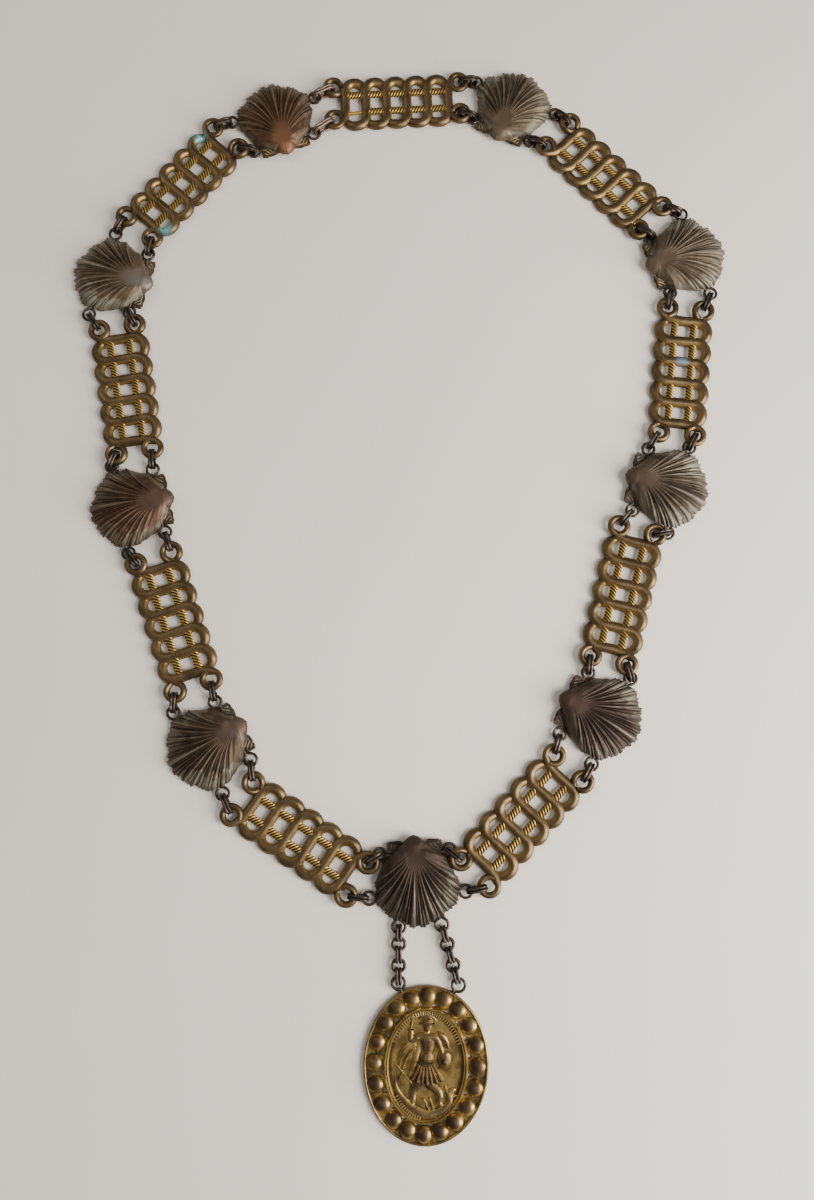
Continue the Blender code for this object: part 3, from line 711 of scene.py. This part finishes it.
def plate_brass(name, stain):
    """Brass gone brown on top, with a painted gold sheen where its bends face the windows, and
    stained where asked.
    """
    skin = Finish(name, Metallic=0.88, Roughness=0.4)
    window_sheen = skin.attribute("window_sheen")
    clouds, grains = skin.noise(120, 5, 0.6), skin.noise(1500, 3)
    darker = skin.above(clouds, 0.40, 0.66)
    colour = skin.mixed((0.124, 0.080, 0.036), (0.070, 0.044, 0.021), darker)
    rubbed = skin.above(skin.noise(210, 4, 0.55), 0.55, 0.74)
    colour = skin.mixed(colour, (0.21, 0.135, 0.060), rubbed * 0.6)
    # Painted sheen: gold where the strands' sides face the windows
    bright = skin.above(window_sheen + 0.5 * (clouds - 0.5), 0.22, 0.85)
    colour = skin.mixed(colour, (0.32, 0.200, 0.060), bright * 0.9)
    if stain:
        spots = skin.attribute("stain") * skin.above(clouds, 0.34, 0.52)
        colour = skin.mixed(colour, stain, spots)
        skin.feed("Metallic", 0.88 - 0.8 * spots)
    skin.feed("Base Color", colour)
    skin.feed("Roughness", 0.43 - 0.08 * rubbed + 0.04 * bright + 0.16 * (grains - 0.5))
    skin.bump(0.5 * grains + 0.5 * clouds, 0.08 * MM)
    return skin.material


strands = fused("strands", brown_bands)
window_sheen_values = strands.data.attributes.new("window_sheen", "FLOAT", "POINT")
for vertex, value in zip(strands.data.vertices, window_sheen_values.data):
    # How far the surface faces the middle of the window that it borders, which sets the painted
    # sheen
    x, y = vertex.co.x / MM, vertex.co.y / MM
    window_x = round(x / STRAND_PITCH) * STRAND_PITCH
    window_y = max(min(y, WINDOW_REACH), -WINDOW_REACH)
    up = vertex.normal.z
    if abs(window_x) < (STRANDS - 1) / 2 * STRAND_PITCH and up > -0.3:
        inwards = Vector((window_x - x, window_y - y)).normalized()
        facing = max(vertex.normal.xy.dot(inwards), 0) * (0.35 + 0.65 * eased(abs(y), 2.5, 6.5))
        # Steep sides that face a window take some painted sheen as well
        flank = 0.6 * eased(1 - up, 0.05, 0.36) if facing > 0 else 0
        value.value = max(facing * (1 - 0.3 * max(up, 0)), flank)
ropes = fused("ropes", gilt_bands)
grooves = ropes.data.attributes.new("groove", "FLOAT", "POINT")
# How deep each point lies between the cords, where shade is painted
for vertex, value in zip(ropes.data.vertices, grooves.data):
    y, z = abs(vertex.co.y / MM) - ROPE_Y, (vertex.co.z / MM - ROPE_LIFT) * ROPE_WIDTH / ROPE_TALL
    value.value = (1 - 2 * math.hypot(y, z) / ROPE_WIDTH) / CORD_DEPTH
for number, (x, y, heading) in enumerate(PLATE_PLACES):
    woven, cords = copy_of(strands, "woven"), copy_of(ropes, "cords")
    stain, strength, spread, spots = STAINS.get(number, (None, 0, (), ()))
    woven.data.materials.append(plate_brass(f"plate brass {number}", stain))
    cords.data.materials.append(gilt.material)
    parts = [woven, cords]
    if stain:
        stained = woven.data.attributes.new("stain", "FLOAT", "POINT")
        for vertex, value in zip(woven.data.vertices, stained.data):
            reach = min(math.dist((vertex.co.x / MM, vertex.co.y / MM), spot) for spot in spots)
            value.value = strength * (1 - eased(reach, *spread))
    if number == MENDED_PLATE:
        picked(cords)
        bpy.ops.object.mode_set(mode="EDIT")
        bpy.ops.mesh.select_all(action="DESELECT")
        bpy.ops.object.mode_set(mode="OBJECT")
        low, high = MENDED_STRETCH
        for vertex in cords.data.vertices:
            vertex.select = vertex.co.y > 0 and low < vertex.co.x < high
        bpy.ops.object.mode_set(mode="EDIT")
        bpy.ops.mesh.delete(type="VERT")
        bpy.ops.mesh.select_all(action="SELECT")
        bpy.ops.mesh.fill_holes(sides=0)
        bpy.ops.object.mode_set(mode="OBJECT")
        route = [(14.0, ROPE_Y - 0.2, 0.3), (18.4, ROPE_Y + 0.3, 0.3), (23.2, ROPE_Y + 0.5, 0.3)]
        strip = band_along("plain strip", route, half_round(1.5, 0.9, 8))
        strip.data.materials.append(gilt.material)
        parts.append(strip)
    plate = fused(f"knotwork_{number}", parts)
    laid(plate, x, y, PLATE_LIFT, math.radians(heading))
    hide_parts(f"knot_plate_{number}")
    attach(plate, "root")
bpy.data.objects.remove(strands)
bpy.data.objects.remove(ropes)

# Jump links
# Thirty-six ovals of dark wire, each wound in two turns that lie side by side, closed through a
# shell's eyelet and a plate's ring. Two beside one shell are longer repairs in copper wire.
LINK_LENGTH = 9.0
LINK_HEIGHT = 6.0
LINK_WIRE = 1.2
REPAIR_LENGTH = 11.4
REPAIR_WIRE = 1.2
REPAIR_SHELL = 4
# A link sits this much nearer to its eyelet, because the ring's band is wider than the wire
LINK_SHIFT = 0.25
LINK_STEPS = 80


def oval_turn(length, height, wire, share):
    """A point on an oval of wire. Its one turn starts at the middle of the bottom."""
    bow, reach = (height - wire) / 2, (length - height) / 2
    whole = 4 * reach + 2 * math.pi * bow
    at = share % 1 * whole
    if at < reach:
        return at, -bow
    if at < reach + math.pi * bow:
        turn = (at - reach) / bow - math.pi / 2
        return reach + bow * math.cos(turn), bow * math.sin(turn)
    if at < 3 * reach + math.pi * bow:
        return 2 * reach + math.pi * bow - at, bow
    if at < 3 * reach + 2 * math.pi * bow:
        turn = (at - 3 * reach - math.pi * bow) / bow + math.pi / 2
        return -reach + bow * math.cos(turn), bow * math.sin(turn)
    return at - whole, -bow


def double_link(name, length, height, wire, apart=1.04):
    """Two turns of wire side by side, standing on edge along x."""
    points = []
    for step in range(LINK_STEPS + 1):
        share = 0.01 + 1.98 * step / LINK_STEPS
        x, z = oval_turn(length, height, wire, share)
        side = -0.5 + eased(share, 0.93, 1.07)
        points.append((x, side * wire * apart, z + height / 2))
    return wire_along(name, points, wire)


def spot_on(piece, x, y, lean=0):
    """Where a point of a piece lies in the collar."""
    piece_x, piece_y, heading = piece
    turn = math.radians(heading - lean)
    spot_x = piece_x + x * math.cos(turn) - y * math.sin(turn)
    return spot_x, piece_y + x * math.sin(turn) + y * math.cos(turn)


jump_link = double_link("jump link", LINK_LENGTH, LINK_HEIGHT, LINK_WIRE)
jump_link.data.materials.append(black_wire)
repair_link = double_link("repair link", REPAIR_LENGTH, LINK_HEIGHT, REPAIR_WIRE)
copper_wire = wire_finish("copper wire", (0.145, 0.096, 0.070), (0.23, 0.160, 0.118))
repair_link.data.materials.append(copper_wire)
number = 0
for order, plate in enumerate(PLATE_PLACES):
    for end in (1, -1):
        neighbour = (order if end == 1 else order + 1) % len(SHELL_PLACES)
        shell = SHELL_PLACES[neighbour]
        for side, (eye_x, eye_y) in ((1, INNER_EYELET), (-1, OUTER_EYELET)):
            ring_x, ring_y = spot_on(plate, end * RING_X, side * RING_Y)
            hole_x, hole_y = spot_on(shell, -end * eye_x, eye_y, lean=90)
            span = math.hypot(hole_x - ring_x, hole_y - ring_y)
            x = (ring_x + hole_x) / 2 + LINK_SHIFT * (hole_x - ring_x) / span
            y = (ring_y + hole_y) / 2 + LINK_SHIFT * (hole_y - ring_y) / span
            repair = neighbour == REPAIR_SHELL and end == 1
            link = copy_of(repair_link if repair else jump_link, f"jump_link_{number}")
            laid(link, x, y, 0, math.atan2(ring_y - hole_y, ring_x - hole_x))
            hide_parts(f"link_{number}")
            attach(link, "root")
            number += 1
bpy.data.objects.remove(jump_link)
bpy.data.objects.remove(repair_link)

# Short chains
# Two chains of three double-wound links with a round ring between each two, of the same dark
# wire, from the eyelets of the bottom shell down to those of the medallion.
CHAIN_PLACES = (("left", 0.0, -156.2, -90.4), ("right", 20.5, -156.2, -74.4))
CHAIN_LINK_LENGTH = 7.1
CHAIN_LINK_HEIGHT = 4.2
CHAIN_LINK_APART = 1.15
CHAIN_PITCH = 8.2
CHAIN_RING_BEND = 2.4
CHAIN_WIRE = 1.2
CHAIN_RING_WIRE = 1.4
CHAIN_RING_HEIGHT = 2.05
link_size = (CHAIN_LINK_LENGTH, CHAIN_LINK_HEIGHT, CHAIN_WIRE)
chain_link = double_link("chain link", *link_size, apart=CHAIN_LINK_APART)
around = arc((0, 0), CHAIN_RING_BEND, 0, 348, 29)
around = [(px, py, CHAIN_RING_HEIGHT) for px, py, pz in around]
chain_ring = wire_along("chain ring", around, CHAIN_RING_WIRE, closed=True)
members = []
for step in (-1, 0, 1):
    members.append(laid(copy_of(chain_link, "chain link"), step * CHAIN_PITCH, 0, 0, 0))
for step in (-0.5, 0.5):
    members.append(laid(copy_of(chain_ring, "chain ring"), step * CHAIN_PITCH, 0, 0, 0))
short_chain = fused("short chain", members)
short_chain.data.materials.append(black_wire)
for side, x, y, heading in CHAIN_PLACES:
    chain = copy_of(short_chain, f"short_chain_{side}")
    laid(chain, x, y, 0, math.radians(heading))
    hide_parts(f"chain_{side}")
    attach(chain, "root")
for pattern in (chain_link, chain_ring, short_chain):
    bpy.data.objects.remove(pattern)

# Medallion
# One oval casting of brass the colour of old gold: a border of domed bosses with small pierced
# corners between them, a double frame with a milled edge, and in the field a low relief of a
# winged figure with sword and shield that stands over a fallen creature.
MEDALLION_PLACE = (10.74, -197.755, -2)
OVAL = (24.6, 29.85)
FIELD = (14.25, 19.5)
BASE = 1.5
BASE_INSET = 0.15
BASE_BEVEL = 0.1
RIM_INSET = 0.55
RIM_HEIGHT = 1.75
RIM_WIRE = 1.1
BOSSES = 20
BOSS_INSET = 4.25
BOSS_RADIUS = 3.5
BOSS_TOP = 3.8
BOSS_SUNK = 0.35
# Every boss is turned alike, so the painted lit side of its patina faces the same way
BOSS_TURN = -40
# Corners pierced between the bosses: how far out the tip is, how far in the foot, half its breadth
HOLE_INSET = 7.35
HOLE_TIP = 1.45
HOLE_FOOT = 0.75
HOLE_HALF = 1.35
FRAME_INSET = 9.0
# Section of the frame: how far inside the outline, and how high
FRAME_ROWS = (
    (8.1, 1.3),
    (8.25, 2.6),
    (8.5, 2.95),
    (8.75, 2.6),
    (8.95, 1.95),
    (9.2, 1.95),
    (9.4, 2.5),
    (9.6, 2.7),
    (9.8, 2.4),
    (9.95, 1.3),
)
MILLS = 96
MILL_INSET = 10.4
MILL_SIZE = (1.6, 0.5, 1.4)
MILL_HEIGHT = 1.85
MEDALLION_EYELET = (11.9, 30.4)


def oval_points(inset, steps, height=0.0):
    """Points round the medallion's outline, moved inwards."""
    wide, tall = OVAL[0] - inset, OVAL[1] - inset
    turns = [2 * math.pi * step / steps for step in range(steps)]
    return [(wide * math.cos(turn), tall * math.sin(turn), height) for turn in turns]


deselect()
bpy.ops.curve.primitive_nurbs_circle_add(radius=MM)
disc = bpy.context.object
disc.data.splines.clear()
disc.data.dimensions = "2D"
disc.data.fill_mode = "BOTH"
outlines = [[(px, py) for px, py, pz in oval_points(BASE_INSET, 120)]]
for number in range(BOSSES):
    turn = 2 * math.pi * (number + 0.5) / BOSSES
    wide, tall = OVAL[0] - HOLE_INSET, OVAL[1] - HOLE_INSET
    spot = Vector((wide * math.cos(turn), tall * math.sin(turn)))
    outward = Vector((math.cos(turn) / wide, math.sin(turn) / tall)).normalized()
    along = Vector((-outward.y, outward.x))
    foot = spot - outward * HOLE_FOOT
    corners = [spot + outward * HOLE_TIP, foot + along * HOLE_HALF, foot - along * HOLE_HALF]
    hole = []
    for before, corner, after in zip(corners[-1:] + corners, corners, corners[1:] + corners[:1]):
        blunt = corner.lerp((before + after) / 2, 0.1)
        hole += [corner.lerp(before, 0.22), blunt, corner.lerp(after, 0.22)]
    outlines.append([tuple(point) for point in hole])
for outline in outlines:
    spline_in(disc, [(x * MM, y * MM, 0) for x, y in outline], True)
disc.data.extrude = (BASE - 2 * BASE_BEVEL) / 2 * MM
disc.data.bevel_depth = BASE_BEVEL * MM
disc.data.bevel_resolution = 0
bpy.ops.object.convert(target="MESH")
closed_up(25)
laid(disc, 0, 0, BASE / 2, 0)
rim = wire_along("rim", oval_points(RIM_INSET, 140, RIM_HEIGHT), RIM_WIRE, closed=True)
medallion = [disc, rim]


def cut_flat(height):
    """Cuts away what the active mesh has below a height, and closes the cut."""
    bpy.ops.object.mode_set(mode="EDIT")
    bpy.ops.mesh.select_all(action="SELECT")
    level, up = (0, 0, height * MM), (0, 0, 1)
    bpy.ops.mesh.bisect(plane_co=level, plane_no=up, clear_inner=True, use_fill=True)
    bpy.ops.object.mode_set(mode="OBJECT")


bpy.ops.mesh.primitive_uv_sphere_add(segments=28, ring_count=16, radius=BOSS_RADIUS * MM)
boss = bpy.context.object
cut_flat(0.3)
boss_rise = BOSS_TOP - BASE
for vertex in boss.data.vertices:
    vertex.co.z = (vertex.co.z / (BOSS_RADIUS * MM)) ** 1.15 * (boss_rise + 0.3) * MM
patina = boss.data.attributes.new("patina", "FLOAT", "POINT")
# Dark patina on each boss's top, shifted off the side turned to the lower right, which stays bright
# as a painted lit crescent
for vertex, value in zip(boss.data.vertices, patina.data):
    x, z = vertex.co.x / MM, vertex.co.z / MM
    value.value = 0.95 * eased(z - 0.28 * x, 0.6 * boss_rise, boss_rise)
bpy.ops.object.shade_smooth_by_angle(angle=math.radians(60))
for px, py, pz in oval_points(BOSS_INSET, BOSSES):
    placed = laid(copy_of(boss, "boss"), px, py, BASE - BOSS_SUNK, math.radians(BOSS_TURN))
    medallion.append(placed)
bpy.data.objects.remove(boss)

# Frame of the field: two thin raised lines with a groove between them, and inside them a milled
# edge over the figure and at the lower left
section = [(FRAME_INSET - inset, height) for inset, height in FRAME_ROWS]
medallion.append(band_along("frame", oval_points(FRAME_INSET, 160), section, closed=True))
deselect()
bpy.ops.mesh.primitive_cube_add(size=MM)
mill = bpy.context.object
mill.scale = MILL_SIZE
bpy.ops.object.transform_apply(scale=True)
bevel = mill.modifiers.new("bevel", "BEVEL")
bevel.width = 0.12 * MM
bevel.segments = 1
bpy.ops.object.modifier_apply(modifier="bevel")
for px, py, pz in oval_points(MILL_INSET, MILLS):
    if py > 8 or (px < -1 and py < -11):
        heading = math.atan2(py / 1.6, px)
        medallion.append(laid(copy_of(mill, "mill"), px, py, MILL_HEIGHT, heading))
bpy.data.objects.remove(mill)


def oval_share(finish, wide, tall):
    """How far out a point is, as a share of an oval round the medallion's middle."""
    x, y, turn = MEDALLION_PLACE
    sockets = {
        "Vector": finish.place,
        "Location": (-x / wide, -y / tall, 0),
        "Scale": (1 / wide / MM, 1 / tall / MM, 0),
    }
    scaled = finish.node("ShaderNodeMapping", {}, sockets)
    return finish.node("ShaderNodeVectorMath", {"operation": "LENGTH"}, {0: scaled}, 1)


old_gold = Finish("old gold brass", Metallic=0.88, Roughness=0.4)
above, mixed = old_gold.above, old_gold.mixed
clouds, grains = old_gold.noise(170, 5, 0.6), old_gold.noise(1500, 3)
patches = old_gold.noise(330, 4, 0.6)
colour = mixed((0.390, 0.262, 0.080), (0.170, 0.108, 0.034), above(clouds, 0.38, 0.62))
colour = mixed(colour, (0.11, 0.068, 0.026), above(patches, 0.54, 0.72) * 0.6)
out, edge = oval_share(old_gold, *OVAL), oval_share(old_gold, *FIELD)
height = old_gold.node("ShaderNodeSeparateXYZ", {}, {"Vector": old_gold.place}, "Z")
# Painted shade: dark in patches low between the bosses, and dark inside the frame's foot
between_bosses = above(out, 0.70, 0.75) * (1 - above(out, 0.93, 0.97))
recess_shade = between_bosses * (1 - above(height, 1.5 * MM, 2.2 * MM)) * above(patches, 0.40, 0.56)
colour = mixed(colour, (0.070, 0.042, 0.018), recess_shade * 0.75)
corner = above(edge, 0.91, 0.98) * (1 - above(edge, 1.04, 1.08))
corner = corner * (1 - above(height, 1.55 * MM, 2.0 * MM))
colour = mixed(colour, (0.060, 0.036, 0.016), corner * 0.8)
# Rubbed bright, with a painted highlight, on the frame and the milled edge; brown round the rim
polish_and_highlight = above(edge, 0.92, 0.94) * (1 - above(edge, 1.15, 1.18))
polish_and_highlight = polish_and_highlight * above(height, 2.1 * MM, 2.5 * MM)
colour = mixed(colour, (0.46, 0.335, 0.140), polish_and_highlight * 0.8)
rimmed = above(out, 0.955, 0.975) * above(patches, 0.30, 0.50)
colour = mixed(colour, (0.125, 0.080, 0.038), rimmed * 0.75)
# Dark patina on the tops of bosses and figure, with a painted lit side left on each boss and
# painted shade at the figure's foot
patina_and_painted_light = old_gold.attribute("patina") * (0.6 + 0.8 * clouds)
colour = mixed(colour, (0.046, 0.026, 0.016), patina_and_painted_light)
old_gold.feed("Base Color", colour)
old_gold.feed("Roughness", 0.31 + 0.28 * patina_and_painted_light + 0.16 * (grains - 0.5))
old_gold.bump(0.5 * grains + 0.5 * clouds, 0.08 * MM)

# Relief of the field: each form is a tapered limb along its points (x, y, half its breadth), with
# its height above the field in front. They are fused and smoothed as a worn casting is.
RELIEF = (
    ("helmet", 1.6, (-0.5, 16.4, 1.7), (0.5, 16.4, 1.7)),
    ("brim", 1.7, (-2.9, 15.3, 0.4), (0.0, 15.7, 0.5), (2.9, 15.3, 0.4)),
    (
        "crest",
        1.3,
        (-3.2, 17.0, 0.4),
        (-1.8, 18.2, 0.6),
        (0.4, 18.7, 0.7),
        (2.4, 18.0, 0.5),
        (3.4, 16.6, 0.4),
    ),
    ("face", 1.5, (0.0, 14.4, 1.5), (0.0, 13.3, 1.2)),
    ("brow", 1.65, (-0.9, 14.8, 0.2), (0.9, 14.8, 0.2)),
    ("nose", 1.75, (0.0, 14.5, 0.2), (0.0, 13.9, 0.28)),
    ("mouth", 1.6, (-0.4, 13.2, 0.18), (0.4, 13.2, 0.18)),
    ("cloak", 0.9, (-2.2, 10.6, 1.3), (-3.4, 6.0, 1.2), (-4.4, 1.0, 1.0), (-6.4, -4.0, 0.8)),
    ("neck", 1.0, (0.0, 12.2, 1.1), (0.0, 11.0, 1.4)),
    ("shoulders", 1.3, (-3.4, 10.2, 1.2), (0.0, 10.7, 1.3), (3.4, 10.2, 1.2)),
    ("breast", 1.5, (0.0, 9.3, 2.8), (0.1, 6.0, 2.3)),
    ("belly", 1.7, (0.1, 3.4, 2.0), (0.1, 2.4, 2.2)),
    ("belt", 1.8, (-2.7, 0.9, 0.5), (0.0, 0.1, 0.6), (2.7, 0.9, 0.5)),
    ("pleat", 1.5, (-2.4, 0.2, 0.5), (-5.2, -5.4, 0.8)),
    ("pleat", 1.6, (-1.6, -0.1, 0.5), (-3.4, -6.2, 0.75)),
    ("pleat", 1.6, (-0.8, -0.3, 0.5), (-1.4, -6.6, 0.75)),
    ("pleat", 1.7, (0.1, -0.4, 0.5), (0.6, -6.9, 0.75)),
    ("pleat", 1.7, (1.0, -0.3, 0.5), (2.6, -6.7, 0.75)),
    ("pleat", 1.6, (1.8, -0.1, 0.5), (4.5, -6.3, 0.75)),
    ("pleat", 1.5, (2.6, 0.2, 0.5), (6.2, -5.4, 0.7)),
    ("leg", 1.4, (-2.6, -6.4, 1.5), (-5.2, -10.2, 1.3), (-4.6, -13.8, 1.0), (-6.6, -15.8, 0.8)),
    ("leg", 1.4, (1.6, -7.0, 1.6), (6.0, -10.2, 1.4), (5.2, -14.0, 1.0), (7.4, -15.2, 0.8)),
    ("sword arm", 1.4, (-3.6, 10.2, 1.1), (-6.4, 8.4, 0.9), (-6.2, 12.2, 0.8)),
    ("sword", 1.3, (-6.4, 12.0, 0.3), (-5.9, 18.2, 0.45)),
    ("sword guard", 1.4, (-7.4, 12.9, 0.3), (-5.2, 13.1, 0.3)),
    ("shield arm", 1.2, (3.6, 10.0, 1.1), (5.6, 6.6, 0.9), (6.4, 3.6, 0.8)),
    ("shield", 1.1, (7.0, 3.4, 2.3), (7.2, 1.4, 2.3), (7.0, -0.6, 1.7)),
    ("shield boss", 1.7, (7.1, 2.0, 0.9), (7.1, 1.2, 0.9)),
    ("cloak", 1.0, (4.4, 11.4, 1.1), (6.4, 10.4, 1.4), (8.0, 7.4, 1.0)),
    ("cloak fold", 1.2, (4.6, 12.0, 0.5), (7.4, 9.6, 0.5), (8.8, 6.4, 0.4)),
    ("wing", 0.8, (-4.0, 8.6, 0.9), (-8.6, 6.0, 1.1), (-10.8, 1.6, 0.6)),
    ("wing feather", 0.9, (-4.4, 7.4, 0.5), (-8.8, 4.2, 0.5), (-10.4, -0.6, 0.35)),
    ("wing feather", 0.9, (-4.4, 6.2, 0.5), (-7.6, 2.8, 0.5), (-9.4, -2.6, 0.35)),
    ("lance", 0.8, (-12.2, 0.4, 0.3), (-5.0, -7.2, 0.3)),
    ("lance", 0.8, (-10.4, -5.8, 0.3), (-8.0, -0.8, 0.3)),
    (
        "tail",
        1.2,
        (-12.0, -5.6, 0.4),
        (-11.2, -9.6, 0.8),
        (-7.8, -13.6, 1.3),
        (-3.0, -17.4, 1.7),
        (2.0, -18.2, 1.5),
    ),
    ("coil", 1.2, (2.0, -18.2, 1.4), (6.6, -17.0, 1.3), (9.8, -13.8, 1.2), (9.2, -10.6, 1.4)),
    ("beast's jaw", 1.4, (9.0, -10.4, 1.3), (11.4, -8.6, 0.8)),
    ("beast's jaw", 1.1, (9.4, -11.6, 0.8), (12.0, -10.8, 0.5)),
    ("beast's horn", 1.2, (8.4, -9.4, 0.5), (7.6, -7.4, 0.3)),
    ("fin", 1.2, (1.6, -16.2, 0.5), (-0.6, -12.6, 0.4)),
    ("fin", 1.2, (3.2, -15.8, 0.5), (1.8, -12.0, 0.4)),
    ("ray", 0.9, (8.6, -15.4, 0.35), (7.6, -18.4, 0.4)),
    ("ray", 0.9, (7.4, -15.6, 0.35), (5.8, -19.0, 0.4)),
    ("ray", 0.9, (6.2, -16.0, 0.35), (4.0, -19.4, 0.4)),
    ("ray", 0.9, (9.8, -14.6, 0.35), (9.4, -17.2, 0.4)),
    ("ground", 0.8, (-9.6, -14.4, 0.5), (-5.4, -18.0, 0.7), (0.0, -19.4, 0.6)),
)
# What a form's breadth is multiplied by, how deep it sits in the field, and the fusing's fineness
RELIEF_WIRE = 1.3
RELIEF_SUNK = 0.25
RELIEF_VOXEL = 0.145

lumps = []
for word, height, *points in RELIEF:
    # The points are rounded off twice, and each end is closed with a dome
    spine = [Vector(point) for point in points]
    for again in range(2):
        cut = [spine[0]]
        for start, end in zip(spine, spine[1:]):
            cut += [start.lerp(end, 0.25), start.lerp(end, 0.75)]
        spine = cut + [spine[-1]]
    tail, tip = [], []
    for ends, end, before in ((tail, spine[0], spine[1]), (tip, spine[-1], spine[-2])):
        way = (end - before).xy.normalized()
        for reach, share in ((0.5, 0.86), (0.86, 0.5), (1.0, 0.12)):
            ends.append((*(end.xy + way * end.z * reach), end.z * share))
    row = tail[::-1] + [tuple(point) for point in spine] + tip
    widths = [RELIEF_WIRE * breadth for x, y, breadth in row]
    form = wire_along(word, [(x, y, 0) for x, y, breadth in row], 2, widths=widths)
    broadest = max(breadth for x, y, breadth in row)
    form.scale.z = (height + RELIEF_SUNK) / RELIEF_WIRE / broadest
    lumps.append(laid(form, 0, 0, BASE - RELIEF_SUNK, 0))
relief = fused("relief", lumps)
relief.data.remesh_voxel_size = RELIEF_VOXEL * MM
bpy.ops.object.voxel_remesh()
soft = relief.modifiers.new("worn", "SMOOTH")
soft.iterations = 5
soft.factor = 0.5
bpy.ops.object.modifier_apply(modifier="worn")
cut_flat(BASE - 0.3)
patina = relief.data.attributes.new("patina", "FLOAT", "POINT")
for vertex, value in zip(relief.data.vertices, patina.data):
    # Dark patina on top of the forms, and painted shade along their foot
    top = 0.85 * eased(vertex.co.z / MM, BASE + 0.4, BASE + 1.1)
    foot = 0.9 - 0.9 * eased(vertex.co.z / MM, BASE + 0.05, BASE + 0.35)
    value.value = max(top, foot)
bpy.ops.object.shade_smooth_by_angle(angle=math.radians(60))
medallion.append(relief)
for piece in medallion:
    piece.data.materials.clear()
    piece.data.materials.append(old_gold.material)
eye_x, eye_y = MEDALLION_EYELET
for side in (-1, 1):
    inward = math.atan2(-3, -side * 2)
    loop = eyelet((side * eye_x, eye_y), inward, height=2.0, reach=2.4, drop=1.2)
    loop.data.materials.append(black_wire)
    medallion.append(loop)
medallion = fused("oval_medallion", medallion)
x, y, turn = MEDALLION_PLACE
laid(medallion, x, y, 0, math.radians(turn))
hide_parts("medallion")
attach(medallion, "root")
